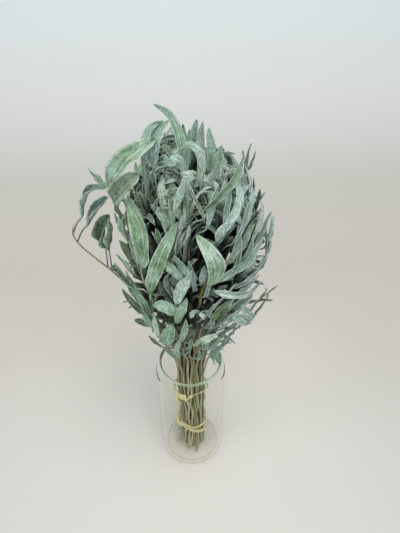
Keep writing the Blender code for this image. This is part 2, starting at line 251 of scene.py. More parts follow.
TOP_AND_RIGHT_LEAVES = (
    # Long curved leaves at the top
    (
        ((0, -34, 406), (-3, -34, 425), (-6, -31, 438), (-12, -28, 447), (-21, -28, 452)),
        *(3.8, -2.1, 0.1, 0.66, 0.3),
    ),
    *(
        (((x, -32, 408), (x + 1, -31, 423), (x + 5, -30, 435), (x + 12, -28, 441)), *look, 0.08)
        for x, *look in ((-30, 4.0, -2.1, 0.1, 0.66), (-27, 3.6, 2.3, 0.1, 0.36), (-23, 4.6, -2.1, 0.1, 0.72))
    ),
    # Rolled leaves like fingers
    (((5, -14, 405), (5, -14, 420), (8, -14, 438)), 3.7, -2.3, 0.0, 0.7, 0.3),
    (((11, -20, 405), (10, -20, 421), (12, -20, 438)), 3.7, -2.3, 0.0, 0.78, 0.2),
    (((17, -24, 402), (18, -24, 420), (16, -24, 435)), 3.9, -2.2, 0.0, 0.76, 0.25),
    (((21, -28, 397), (22, -28, 411), (25, -28, 424)), 3.6, -2.3, 0.0, 0.7, 0.4),
    (((-1, -12, 403), (-2, -12, 418), (-2, -12, 434)), 3.4, 2.2, 0.0, 0.55, 0.45),
    (((2, -18, 403), (1, -18, 418), (3, -18, 432)), 3.2, -2.3, 0.0, 0.66, 0.35),
    # Leaves that arch over, and crumpled ones
    (((10, -38, 400), (10, -40, 420), (3, -39, 428), (-5, -39, 424)), 3.4, -1.7, 0.0, 0.78, 0.55),
    (((-1, -40, 409), (-6, -41, 419), (-12, -40, 416), (-15, -39, 422)), 3.8, -1.8, 0.0, 0.75, 0.12),
    (
        ((-9, -53, 385), (-6, -52, 395), (-1, -50, 406), (2, -47, 412), (8, -46, 410)),
        *(3.0, -1.8, 0.0, 0.74, 0.45),
    ),
    # Long leaves at the right
    (((12, -55, 387), (24, -50, 397), (33, -42, 405), (42, -22, 415)), 4.0, 1.8, 0.25, 0.76, 0.55),
    (((25, -58, 370), (33, -52, 383), (37, -45, 394), (34, -38, 405)), 4.2, -1.9, 0.25, 0.8, 0.12),
    (((27, -57, 372), (27, -53, 386), (31, -47, 398)), 3.2, 1.8, 0.1, 0.7, 0.12),
    (((65, -20, 331), (67, -22, 346), (70, -16, 360)), 4.8, 1.5, 0.2, 0.72, 0.2),
    (((64, -22, 310), (67, -20, 330), (63, -18, 350)), 4.0, 1.7, 0.2, 0.6, 0.3),
    (((52, -28, 334), (60, -22, 347), (64, -17, 356), (69, -15, 364)), 3.6, 1.8, 0.2, 0.66, 0.12),
    (((47, -33, 336), (50, -28, 352), (57, -20, 362), (62, -15, 369)), 3.6, 1.8, 0.2, 0.7, 0.2),
    (((58, -28, 316), (66, -23, 325), (71, -18, 338)), 3.6, 1.8, 0.2, 0.58, 0.15),
    (((36, -50, 312), (46, -42, 312), (58, -30, 314), (67, -22, 322)), 3.6, 1.8, 0.2, 0.66, 0.12),
    (((40, -46, 344), (45, -40, 356), (50, -33, 362), (57, -26, 362)), 3.4, 1.9, 0.2, 0.74, 0.25),
    (((38, -48, 330), (47, -41, 342), (52, -36, 354)), 3.5, 1.8, 0.2, 0.62, 0.1),
    (((30, -55, 340), (36, -51, 354), (38, -47, 370)), 3.7, 1.8, 0.2, 0.7, 0.3),
    (((43, -40, 290), (54, -32, 292), (65, -26, 299)), 3.0, 1.5, 0.2, 0.72, 0.3),
    (((40, -42, 296), (50, -36, 303), (62, -28, 308)), 3.0, 1.6, 0.2, 0.78, 0.2),
    (((36, -44, 282), (47, -38, 283), (57, -32, 289)), 2.8, 1.5, 0.2, 0.66, 0.4),
    (((28, -36, 232), (35, -36, 238), (43, -33, 246)), 2.6, 1.6, 0.2, 0.7, 0.4),
    (((26, -32, 220), (33, -32, 224), (40, -30, 231)), 2.4, 1.6, 0.2, 0.8, 0.3),
    (((20, -36, 226), (25, -40, 238), (33, -42, 249)), 2.6, 1.6, 0.2, 0.74, 0.5),
    (((21, -60, 326), (33, -57, 334), (46, -51, 340), (59, -42, 356)), 3.7, 1.7, 0.1, 0.72, 0.08),
    (((20, -60, 318), (30, -59, 314), (43, -53, 308), (56, -43, 302)), 4.2, 1.2, 0.2, 0.92, 0.6),
    (((20, -58, 284), (26, -58, 294), (34, -56, 304)), 9.5, 0.5, 0.05, 0.3, 0.92),
    (((53, -42, 262), (47, -48, 274), (36, -54, 286)), 6.5, 0.7, 0.1, 0.6, 0.15),
    (((57, -38, 262), (50, -45, 280), (44, -50, 293)), 5.0, 0.8, 0.1, 0.66, 0.05),
)
LOW_TWIG_LEAVES = (
    # The low twig's own leaf
    (((60, -19, 248), (67, -21, 262), (72, -21, 273), (74, -21, 283)), 3.6, 1.3, 0.2, 0.55, 0.2),
)
NARROW_LEAVES = (
    # Narrow leaves at the right, side by side
    *(
        (places, 3.2, roll, 0.15, tone, 0.1)
        for places, roll, tone in (
            (((34, -52, 358), (41, -46, 370), (46, -38, 384)), 1.9, 0.8),
            (((42, -44, 366), (47, -38, 378), (49, -30, 392)), -1.9, 0.66),
            (((20, -58, 360), (26, -56, 372), (27, -51, 384)), 2.0, 0.58),
            (((14, -56, 374), (17, -52, 390), (22, -46, 402)), -2.0, 0.7),
            (((30, -56, 326), (37, -52, 338), (41, -46, 352)), 2.0, 0.76),
            (((48, -40, 322), (55, -34, 332), (61, -27, 344)), -1.8, 0.8),
        )
    ),
    # Thin pale leaves that curve up and out, low at the right
    *(
        (places, 1.7, 1.5, 0.1, 0.95, 0.4)
        for places in (
            ((14, -38, 245), (26, -42, 265), (37, -46, 289), (53, -38, 292)),
            ((17, -34, 236), (33, -36, 248), (46, -38, 266), (57, -32, 276)),
            ((10, -36, 235), (14, -46, 272), (26, -52, 301), (39, -50, 307)),
            ((20, -28, 219), (30, -34, 240), (44, -36, 256), (54, -32, 262)),
            ((12, -40, 240), (20, -46, 262), (34, -48, 276), (47, -42, 280)),
            ((12, -46, 262), (22, -54, 284), (33, -56, 300), (44, -50, 312)),
            ((16, -44, 256), (28, -50, 272), (41, -50, 284), (55, -42, 294)),
            ((8, -52, 276), (16, -58, 294), (27, -60, 310), (38, -56, 322)),
        )
    ),
)
SHRIVELLED_LEAVES = (
    # The shrivelled stalk's thin leaves
    (((51, 10, 340), (54, 8, 350), (53, 7, 362)), 2.6, 2.2, 0.2, 0.4, 0.1),
    (((50, 12, 352), (46, 9, 362), (46, 7, 374)), 2.4, 2.2, 0.2, 0.5, 0.12),
    (((51, 12, 362), (56, 10, 371), (56, 9, 382)), 2.4, 2.3, 0.2, 0.35, 0.1),
    (((51, 12, 374), (48, 10, 382), (48, 9, 394)), 2.4, 2.2, 0.2, 0.55, 0.15),
    (((50, 12, 386), (53, 10, 395), (56, 9, 405)), 2.2, 2.3, 0.2, 0.4, 0.1),
    (((50, 12, 391), (49, 11, 400), (52, 10, 411)), 2.2, 2.3, 0.2, 0.5, 0.1),
    (((50, 12, 391), (46, 12, 397), (46, 11, 405)), 2.2, 2.3, 0.2, 0.3, 0.15),
)
LOW_LEAVES = (
    # Low leaves at the left
    (((-44, -32, 300), (-52, -27, 304), (-59, -22, 310), (-64, -20, 318)), 5.4, 1.4, 0.1, 0.16, 0.76),
    (((-42, -36, 296), (-49, -30, 305), (-54, -28, 315)), 5.0, 1.2, 0.1, 0.3, 0.6),
    (((-40, -38, 285), (-46, -34, 293), (-53, -29, 300)), 4.6, 1.4, 0.1, 0.2, 0.74),
    (((-34, -44, 276), (-39, -41, 288), (-46, -36, 298)), 4.2, 1.4, 0.1, 0.4, 0.6),
    (((-37, -43, 278), (-47, -35, 280), (-54, -28, 284), (-60, -24, 292)), 4.6, 1.0, 0.1, 0.06, 0.8),
    (((-36, -42, 262), (-43, -36, 261), (-52, -28, 257)), 3.8, 1.0, 0.1, 0.1, 0.75),
    (((-46, -30, 312), (-54, -22, 318), (-62, -16, 324)), 5.0, -1.0, 0.0, 0.5, 0.45),
    (((-55, -14, 288), (-60, -14, 300), (-65, -13, 307), (-71, -13, 306)), 6.0, -0.9, 0.1, 0.12, 0.8),
    # A cluster of small leaves low in the middle
    *(
        (((x, -56, z), (x + lean, -60, z + 10), (x + 2 * lean, -60, z + 21)), 3.0, roll, 0.1, tone, 0.06)
        for x, z, lean, roll, tone in (
            (6, 326, -3, 1.5, 0.86),
            (10, 322, 1, -1.6, 0.74),
            (5, 315, -1, 1.7, 0.66),
            (1, 320, -4, -1.5, 0.8),
            (12, 308, 2, 1.6, 0.84),
        )
    ),
    # A narrow pale leaf with a crumpled head
    (((11, -58, 383), (6, -57, 396), (1, -55, 408)), 1.7, 2.2, 0.0, 0.94, 0.4),
    (((1, -54, 408), (2, -55, 413), (-4, -55, 415)), 3.2, -1.6, 0.0, 0.9, 0.3),
    # Small leaves low at the front
    (((-34, -44, 262), (-36, -47, 274), (-41, -46, 285)), 3.6, 1.3, 0.1, 0.62, 0.66),
    (((-22, -46, 240), (-24, -50, 253), (-30, -51, 264)), 3.4, 1.4, 0.1, 0.72, 0.6),
    (((-3, -44, 232), (0, -51, 246), (1, -56, 259)), 3.0, 1.4, 0.1, 0.7, 0.66),
    (((9, -44, 232), (14, -50, 243), (17, -54, 256)), 3.2, 1.4, 0.1, 0.62, 0.62),
    (((15, -40, 226), (22, -44, 236), (28, -47, 250)), 3.0, 1.5, 0.1, 0.76, 0.4),
    (((-14, -38, 214), (-17, -44, 225), (-24, -46, 236)), 3.0, 1.4, 0.1, 0.55, 0.72),
    (((3, -34, 206), (8, -40, 216), (9, -44, 229)), 2.6, 1.5, 0.1, 0.66, 0.66),
    (((-26, -34, 224), (-32, -36, 234), (-39, -36, 243)), 3.0, 1.4, 0.1, 0.36, 0.74),
    (((18, -32, 210), (25, -35, 217), (32, -36, 227)), 2.4, 1.5, 0.1, 0.78, 0.5),
    (((-6, -48, 252), (-12, -53, 262), (-14, -57, 275)), 3.2, 1.3, 0.1, 0.6, 0.62),
    (((14, -52, 268), (19, -56, 280), (18, -59, 292)), 3.2, 1.5, 0.1, 0.66, 0.34),
    (((24, -50, 262), (32, -51, 272), (41, -50, 280)), 3.2, 1.4, 0.1, 0.7, 0.3),
    (((-10, -59, 291), (-16, -59, 299), (-23, -56, 300), (-31, -50, 294)), 5.6, -0.7, 0.0, 0.52, 0.62),
    (((-11, -58, 281), (-7, -60, 296), (-2, -60, 311)), 4.2, 0.6, 0.0, 0.66, 0.62),
    (((-11, -60, 305), (-6, -62, 322), (3, -63, 341)), 5.2, 0.5, 0.1, 0.88, 0.6),
    (((-15, -56, 277), (-19, -56, 263), (-22, -51, 247)), 7.0, -0.5, 0.0, 0.45, 0.66),
    (((-27, -50, 254), (-29, -51, 270), (-31, -50, 287)), 3.4, 0.8, 0.1, 0.78, 0.66),
    (((-8, -58, 258), (-5, -60, 272), (-3, -60, 287)), 3.2, 0.8, 0.1, 0.72, 0.62),
    (((-11, -44, 220), (-12, -53, 243), (-8, -58, 263)), 3.2, 1.0, 0.1, 0.72, 0.55),
    (((24, -18, 206), (28, -23, 197), (31, -27, 187)), 5.0, -0.6, 0.1, 0.35, 0.62),
    (((22, -18, 208), (23, -25, 198), (25, -31, 191)), 3.6, -0.6, 0.1, 0.5, 0.55),
    (((4, -56, 250), (8, -60, 260), (15, -61, 265), (25, -59, 268)), 3.8, 0.9, 0.1, 0.88, 0.7),
    (((-6, -61, 331), (-11, -61, 340), (-18, -59, 348)), 4.6, 0.7, 0.1, 0.72, 0.2),
    (((-1, -62, 334), (-5, -61, 344), (-11, -60, 353)), 4.4, 0.8, 0.1, 0.62, 0.25),
    (((20, -60, 364), (24, -60, 375), (30, -57, 378)), 3.6, -0.9, 0.1, 0.8, 0.3),
)
CUT_STEM_LEAVES = (
    # The pale tuft at a node of the cut stem
    (((12, -53, 289), (17, -56, 290), (18, -59, 286)), 3.0, -1.2, 0.0, 1.0, 0.3),
    (((8, -53, 289), (3, -56, 291), (1, -59, 287)), 3.0, -1.2, 0.0, 1.0, 0.3),
    (((10, -55, 290), (10, -60, 293), (12, -62, 288)), 2.6, -1.2, 0.0, 1.0, 0.35),
)
# The sprig that each group grows on, or None for the nearest to each leaf
STANDING_OUT = (
    (None, FRONT_LEAVES),
    ("tall_left_sprig", TALL_LEFT_LEAVES),
    ("drooping_sprig", DROOPING_LEAVES),
    (None, TOP_AND_RIGHT_LEAVES),
    ("low_right_sprig", LOW_TWIG_LEAVES),
    (None, NARROW_LEAVES),
    ("shrivelled_sprig", SHRIVELLED_LEAVES),
    (None, LOW_LEAVES),
    ("cut_stem", CUT_STEM_LEAVES),
)


# Small sums


def smooth(t):
    """0 to 1 with flat ends: t squared times (3 - 2t), held outside 0 to 1."""
    t = np.clip(t, 0.0, 1.0)
    return t * t * (3 - 2 * t)


def unit(a):
    """Each vector of the last axis divided by its length."""
    return a / np.maximum(np.linalg.norm(a, axis=-1, keepdims=True), 1e-12)


def square_to(way, towards):
    """The part of towards that is square to way, made a unit vector."""
    return unit(towards - way * (way * towards).sum(-1, keepdims=True))


def turned_about(axis, a, angle):
    """Rodrigues' turn of vectors a about unit vectors axis by angle."""
    angle = np.asarray(angle)[..., None]
    along = axis * (axis * a).sum(-1, keepdims=True)
    return along + (a - along) * np.cos(angle) + np.cross(axis, a) * np.sin(angle)


def through(points, steps):
    """A Catmull-Rom curve through points, with steps points to each stretch."""
    p = np.asarray(points, float)
    p = np.vstack([2 * p[:1] - p[1:2], p, 2 * p[-1:] - p[-2:-1]])
    t = np.linspace(0, 1, steps, endpoint=False)[None, :, None]
    a, b, c, d = (p[k : len(p) - 3 + k][:, None] for k in range(4))
    run = b + 0.5 * ((c - a) * t + (2 * a - 5 * b + 4 * c - d) * t**2 + (3 * b - a - 3 * c + d) * t**3)
    return np.vstack([run.reshape(-1, 3), p[-2:-1]])


def run_along(path):
    """How far along a path each of its points is."""
    return np.concatenate([[0], np.cumsum(np.linalg.norm(np.diff(path, axis=0), axis=1))])


def length_of(path):
    """A path's length."""
    return np.linalg.norm(np.diff(path, axis=0), axis=1).sum()


def evenly(path, count):
    """count points at equal distances along a path."""
    run = run_along(path)
    places = np.linspace(0, run[-1], count)
    return np.stack([np.interp(places, run, path[:, k]) for k in range(3)], axis=1)


def directions(path):
    """Unit directions along a path, by central differences."""
    return unit(np.gradient(path, axis=-2))


# Meshes


class Skin:
    """Closed tubes gathered into one mesh: points, faces, two vector attributes and a material each."""

    def __init__(self):
        self.points, self.quads, self.ends = [], [], []
        self.lie, self.tint, self.quad_slots, self.end_slots = [], [], [], []
        self.count = 0

    def tubes(self, rings, lie, tint, slot):
        """Adds tubes of rings (tube, ring, around, xyz), with lie and tint vectors for the same points.

        A tube's faces join ring to ring, and its ends are fans to the end ring's middle.
        """
        tubes, ring_count, around = rings.shape[:3]
        middle = [rings[:, k].mean(1, keepdims=True) for k in (0, -1)]
        flat = [rings.reshape(tubes, -1, 3)] + middle
        each = ring_count * around + 2
        self.points.append(np.concatenate(flat, axis=1).reshape(-1, 3))
        for kept, given in ((self.lie, lie), (self.tint, tint)):
            given = np.broadcast_to(given, rings.shape)
            ends = [given[:, k].mean(1, keepdims=True) for k in (0, -1)]
            kept.append(np.concatenate([given.reshape(tubes, -1, 3)] + ends, axis=1).reshape(-1, 3))
        ring = np.arange(ring_count - 1)[:, None] * around
        k = np.arange(around)
        after = (k + 1) % around
        quads = np.stack([ring + k, ring + after, ring + around + after, ring + around + k], -1)
        quads = quads.reshape(-1, 4)
        last = (ring_count - 1) * around
        low = np.stack([after, k, np.full(around, each - 2)], -1)
        high = np.stack([last + k, last + after, np.full(around, each - 1)], -1)
        start = self.count + np.arange(tubes)[:, None, None] * each
        self.quads.append((start + quads).reshape(-1, 4))
        self.ends.append((start + np.vstack([low, high])).reshape(-1, 3))
        self.quad_slots.append(np.full(len(self.quads[-1]), slot))
        self.end_slots.append(np.full(len(self.ends[-1]), slot))
        self.count += tubes * each

    def object(self, name, materials):
        """The mesh object, smooth, at the origin."""
        points = np.concatenate(self.points)
        quads, ends = np.concatenate(self.quads), np.concatenate(self.ends)
        mesh = bpy.data.meshes.new(name)
        mesh.vertices.add(len(points))
        mesh.vertices.foreach_set("co", points.ravel())
        corners = np.concatenate([quads.ravel(), ends.ravel()])
        sizes = np.concatenate([np.full(len(quads), 4), np.full(len(ends), 3)])
        mesh.loops.add(len(corners))
        mesh.loops.foreach_set("vertex_index", corners)
        mesh.polygons.add(len(sizes))
        mesh.polygons.foreach_set("loop_start", np.concatenate([[0], np.cumsum(sizes)[:-1]]))
        mesh.polygons.foreach_set("material_index", np.concatenate(self.quad_slots + self.end_slots))
        mesh.polygons.foreach_set("use_smooth", np.ones(len(sizes), bool))
        mesh.update(calc_edges=True)
        for label, values in (("lie", self.lie), ("tint", self.tint)):
            made = mesh.attributes.new(label, "FLOAT_VECTOR", "POINT")
            made.data.foreach_set("vector", np.concatenate(values).astype(np.float32).ravel())
        for material in materials:
            mesh.materials.append(material)
        made = bpy.data.objects.new(name, mesh)
        bpy.context.scene.collection.objects.link(made)
        return made


def surface_object(name, points, faces, materials, slots=None):
    """A smooth mesh object from an array of points and a list of faces."""
    mesh = bpy.data.meshes.new(name)
    mesh.from_pydata(points.tolist(), [], faces)
    if slots is not None:
        mesh.polygons.foreach_set("material_index", slots)
    mesh.polygons.foreach_set("use_smooth", np.ones(len(faces), bool))
    for material in materials:
        mesh.materials.append(material)
    made = bpy.data.objects.new(name, mesh)
    bpy.context.scene.collection.objects.link(made)
    return made


# Materials


class Nodes:
    """A material's node tree, with short ways to add and join nodes."""

    def __init__(self, name, **shader_values):
        self.material = bpy.data.materials.new(name)
        self.material.use_nodes = True
        self.tree = self.material.node_tree
        self.shader = self.tree.nodes["Principled BSDF"]
        for socket, value in shader_values.items():
            self.shader.inputs[socket.replace("_", " ")].default_value = value

    def add(self, kind, inputs=None, **settings):
        """A node with its settings; inputs maps a socket to a value or to another node's output."""
        made = self.tree.nodes.new("ShaderNode" + kind)
        for key, value in settings.items():
            setattr(made, key, value)
        for key, value in (inputs or {}).items():
            socket = made.inputs[key]
            if isinstance(value, bpy.types.NodeSocket):
                self.tree.links.new(value, socket)
            else:
                socket.default_value = value
        return made

    def maths(self, operation, *values, clamp=False):
        """A Math node's output."""
        made = self.add("Math", dict(enumerate(values)), operation=operation, use_clamp=clamp)
        return made.outputs[0]

    def ramp(self, value, stops):
        """A colour ramp's output: stops are (place, colour), and a grey is a single value."""
        made = self.add("ValToRGB", {"Fac": value})
        while len(made.color_ramp.elements) < len(stops):
            made.color_ramp.elements.new(1.0)
        for element, (place, colour) in zip(made.color_ramp.elements, stops):
            element.position = place
            element.color = shade(colour)
        return made.outputs["Color"]

    def blend(self, share, first, second, how="MIX"):
        """A colour mixed from two by share."""
        second = shade(second) if isinstance(second, str) else second
        made = self.add("Mix", {0: share, 6: first, 7: second}, data_type="RGBA", blend_type=how)
        return made.outputs[2]

    def times(self, first, second):
        """Two colours multiplied."""
        return self.blend(1.0, first, second, "MULTIPLY")

    def strayed(self, value, noise, amount, clamp=True):
        """A value plus an amount of how far a noise is from a half."""
        off = self.maths("SUBTRACT", noise, 0.5)
        return self.maths("ADD", value, self.maths("MULTIPLY", off, amount), clamp=clamp)

    def parts(self, attribute):
        """The three values of a vector attribute."""
        read = self.add("Attribute", attribute_name=attribute)
        return self.add("SeparateXYZ", {0: read.outputs["Vector"]}).outputs

    def place(self, scale=(1, 1, 1)):
        """Object coordinates, stretched."""
        read = self.add("TexCoord")
        return self.add("Mapping", {"Vector": read.outputs["Object"], "Scale": scale}).outputs[0]

    def noise(self, vector, scale, detail=3.0, roughness=0.55):
        """A noise value about a half."""
        values = {"Vector": vector, "Scale": scale, "Detail": detail, "Roughness": roughness}
        return self.add("TexNoise", values).outputs["Fac"]

    def link(self, output, socket):
        """Joins an output to one of the shader's sockets."""
        self.tree.links.new(output, self.shader.inputs[socket])

    def bump(self, height, strength, distance, before=None):
        """A bump's normal, laid over another's."""
        values = {"Height": height, "Strength": strength, "Distance": distance}
        if before is not None:
            values["Normal"] = before
        return self.add("Bump", values).outputs["Normal"]


def shade(colour):
    """A linear colour with alpha, from a #rrggbb code, a grey's value or three values."""
    if isinstance(colour, str):
        parts = [int(colour[k : k + 2], 16) / 255 for k in (1, 3, 5)]
        colour = [p / 12.92 if p < 0.04045 else ((p + 0.055) / 1.055) ** 2.4 for p in parts]
    elif isinstance(colour, (int, float)):
        colour = [colour] * 3
    return (*colour, 1.0)


def leaf_material():
    """Dried sage leaf: felted and pebbly, grey-green above, paler with raised veins below."""
    n = Nodes("sage_leaf", Roughness=0.85, Specular_IOR_Level=0.18, Sheen_Weight=0.06, Sheen_Roughness=0.4)
    across, along, side = n.parts("lie")
    tone, hue, painted_shade = n.parts("tint")
    place = n.place()
    mottle = n.noise(place, 160.0, 4.0)
    fine = n.noise(place, 1400.0, 2.0)
    patches = n.noise(place, 48.0, 2.0)
    tone = n.strayed(tone, patches, 0.9, clamp=False)
    hue = n.strayed(hue, patches, -1.3)
    shifted = n.strayed(tone, mottle, 0.6)
    lilac = n.ramp(shifted, ((0.0, "#566e66"), (0.5, "#9abab1"), (1.0, "#cae0dc")))
    sage = ((0.0, "#47603f"), (0.28, "#74957a"), (0.52, "#96ba9f"), (0.76, "#b2d0bc"), (1.0, "#d4e6dc"))
    fresh = n.ramp(shifted, ((0.0, "#35492a"), (0.3, "#5f7e4c"), (0.65, "#8aab7e"), (1.0, "#b2cda8")))
    base = n.blend(n.maths("MULTIPLY", hue, 2.0, clamp=True), lilac, n.ramp(shifted, sage))
    base = n.blend(n.maths("MULTIPLY_ADD", hue, 2.0, -1.0, clamp=True), base, fresh)
    base = n.blend(n.maths("MULTIPLY", n.maths("LESS_THAN", side, 0.0), 0.34), base, "#bcc6c1")

    # A pale rib and side veins, and a pale margin that is partly a painted highlight; painted shade darkens
    # the hollows beside the rib and inside the margin
    middle = n.maths("ABSOLUTE", across)
    rib = n.ramp(middle, ((0.0, 1.0), (0.09, 0.85), (0.17, 0.0)))
    run = n.maths("SUBTRACT", n.maths("MULTIPLY", along, 11.0), n.maths("MULTIPLY", middle, 1.9))
    waver = n.maths("MULTIPLY", n.noise(place, 420.0, 1.0), 0.7)
    veins = n.maths("SINE", n.maths("MULTIPLY", n.maths("ADD", run, waver), math.tau))
    veins = n.ramp(veins, ((0.72, 0.0), (1.0, 1.0)))
    # The margin's pale colour is partly the leaf's paler edge and partly a painted highlight
    margin = n.ramp(middle, ((0.70, 0.0), (0.92, 1.0)))
    pale = ((rib, 0.34, "#dbe3d2"), (veins, 0.20, "#d3dccf"), (margin, 0.46, "#d9e3dc"))
    for line, strength, colour in pale:
        base = n.blend(n.maths("MULTIPLY", line, strength), base, colour)
    # Painted shade beside the rib and inside the margin, with a little painted light on the rib and the
    # margin
    painted_shade_and_light = ((0.0, 1.06), (0.06, 1.0), (0.17, 0.80), (0.34, 1.0), (0.60, 1.0), (0.76, 0.84), (0.90, 1.08))
    base = n.times(base, n.ramp(middle, painted_shade_and_light))

    # Painted shade makes each leaf darker and browner at its base, inside the foliage; then painted shade and
    # light in the creases, a fine grain, and painted shade within the bunch
    foot = ((0.0, (0.34, 0.35, 0.27)), (0.22, (0.76, 0.78, 0.70)), (0.45, 1.0))
    base = n.times(base, n.ramp(along, foot))
    drawn = {0: n.maths("MULTIPLY", across, 3.2), 1: n.maths("MULTIPLY", along, 15.0), 2: tone}
    creases = n.noise(n.add("CombineXYZ", drawn).outputs[0], 1.0, 3.0)
    # Painted shade in the creases' hollows and painted light on their ridges
    painted_crease_shading = ((0.30, (0.40, 0.44, 0.38)), (0.47, (0.96, 0.96, 0.95)), (0.70, (1.18, 1.18, 1.19)))
    base = n.times(base, n.ramp(creases, painted_crease_shading))
    base = n.times(base, n.ramp(fine, ((0.3, 0.90), (0.7, 1.06))))
    # Painted shade: the leaf colour goes towards near black well inside the bunch
    n.link(n.blend(n.maths("MULTIPLY", painted_shade, 0.93), base, "#0c1109"), "Base Color")

    cells = {"Vector": place, "Scale": 1050.0, "Smoothness": 0.6}
    pebbles = n.add("TexVoronoi", cells, feature="SMOOTH_F1").outputs["Distance"]
    normal = n.bump(pebbles, 0.55, 0.0005)
    normal = n.bump(n.maths("ADD", n.maths("MULTIPLY", rib, 1.6), veins), 0.45, 0.0004, normal)
    slant = n.maths("SUBTRACT", n.maths("MULTIPLY", along, 46.0), n.maths("MULTIPLY", middle, 7.0))
    puckers = n.maths("SINE", n.maths("ADD", slant, n.maths("MULTIPLY", mottle, 22.0)))
    normal = n.bump(n.maths("ADD", puckers, n.maths("MULTIPLY", mottle, 6.0)), 0.5, 0.0005, normal)
    normal = n.bump(creases, 0.6, 0.0016, normal)
    n.link(n.bump(fine, 0.35, 0.0002, normal), "Normal")
    n.link(n.ramp(mottle, ((0.2, 0.78), (0.8, 0.94))), "Roughness")
    return n.material


def stem_material():
    """Dried square stem: tan to olive, streaked lengthwise, with a felt of fine pale hair."""
    n = Nodes("sage_stem", Roughness=0.8, Specular_IOR_Level=0.3, Sheen_Weight=0.12, Sheen_Roughness=0.5)
    around, _, cut = n.parts("lie")
    tone, green, painted_shade = n.parts("tint")
    streaks = n.noise(n.place((1.0, 1.0, 0.05)), 1500.0, 3.0)
    patches = n.noise(n.place((1.0, 1.0, 0.45)), 120.0, 3.0)
    shifted = n.strayed(tone, patches, 0.7)
    dry = ((0.0, "#85795a"), (0.25, "#b3aa82"), (0.5, "#ccc6a0"), (0.75, "#d5d8ba"), (1.0, "#bccfb4"))
    fresh = n.ramp(shifted, ((0.0, "#7d7a35"), (0.5, "#a39f4d"), (1.0, "#b5ae68")))
    base = n.blend(green, n.ramp(shifted, dry), fresh)
    base = n.times(base, n.ramp(streaks, ((0.30, (0.42, 0.40, 0.35)), (0.68, (1.18, 1.18, 1.16)))))
    # Painted shade along the stem's four grooves
    painted_groove_shade = n.maths("COSINE", n.maths("MULTIPLY", around, 4 * math.tau))
    base = n.times(base, n.ramp(painted_groove_shade, ((0.0, (0.62, 0.60, 0.55)), (0.45, 1.0))))
    base = n.blend(cut, base, "#d8d2b4")
    # Painted shade: stems inside the gathered bundle and within the bunch go towards near black
    n.link(n.blend(n.maths("MULTIPLY", painted_shade, 0.85), base, "#15120a"), "Base Color")
    n.link(n.bump(streaks, 0.5, 0.0004), "Normal")
    n.link(n.ramp(patches, ((0.2, 0.7), (0.8, 0.9))), "Roughness")
    return n.material


def raffia_material():
    """Raffia: straw-coloured fibre, streaked along each strand, dull with a faint sheen."""
    n = Nodes("raffia_fibre", Roughness=0.7, Specular_IOR_Level=0.35, Sheen_Weight=0.1)
    across, along, ply = n.parts("lie")
    tone, _, painted_shade = n.parts("tint")
    own = {0: n.maths("MULTIPLY", across, 0.0016), 1: n.maths("MULTIPLY", along, 0.03), 2: ply}
    fibres = n.noise(n.add("CombineXYZ", own).outputs[0], 5200.0, 3.0)
    patches = n.noise(n.place(), 220.0, 2.0)
    base = n.ramp(n.strayed(tone, patches, 0.8), ((0.0, "#bba970"), (0.45, "#d8cb96"), (1.0, "#ece4c0")))
    base = n.times(base, n.ramp(fibres, ((0.3, (0.72, 0.70, 0.64)), (0.68, (1.08, 1.08, 1.06)))))
    # Painted shade towards dark brown by the tint's third value
    n.link(n.blend(n.maths("MULTIPLY", painted_shade, 0.6), base, "#3a301a"), "Base Color")
    n.link(n.bump(fibres, 0.6, 0.0004), "Normal")
    n.link(n.ramp(patches, ((0.2, 0.6), (0.8, 0.82))), "Roughness")
    return n.material


def glass_material(name, tint, clearness, roughness):
    """Clear blown glass, very slightly uneven, that lets lamplight through to what stands in it."""
    n = Nodes(name, Roughness=roughness, IOR=1.15, Transmission_Weight=clearness)
    n.shader.inputs["Base Color"].default_value = shade(tint)
    waves = n.noise(n.place((1.0, 1.0, 0.4)), 38.0, 1.0)
    n.link(n.bump(waves, 0.12, 0.0006), "Normal")
    lets_through = n.add("BsdfTransparent", {"Color": (0.80, 0.81, 0.80, 1.0)})
    path = n.add("LightPath")
    both = n.add("MixShader", {0: path.outputs["Is Shadow Ray"]})
    n.tree.links.new(n.shader.outputs[0], both.inputs[1])
    n.tree.links.new(lets_through.outputs[0], both.inputs[2])
    n.tree.links.new(both.outputs[0], n.tree.nodes["Material Output"].inputs["Surface"])
    return n.material


# The vase


def arc(centre, radius, start, end, count):
    """Points (radius, height) on an arc, between two angles in degrees."""
    a = np.radians(np.linspace(start, end, count))
    return np.stack([centre[0] + radius * np.cos(a), centre[1] + radius * np.sin(a)], 1)


def shoulder(body_radius, neck_radius, top, count=14):
    """The rounded shoulder, from the body up to the neck: the radius eases from one to the other."""
    t = np.linspace(0, 1, count)
    low = VASE_HEIGHT - SHOULDER_HEIGHT
    return np.stack([body_radius + (neck_radius - body_radius) * smooth(t), low + (top - low) * t], 1)


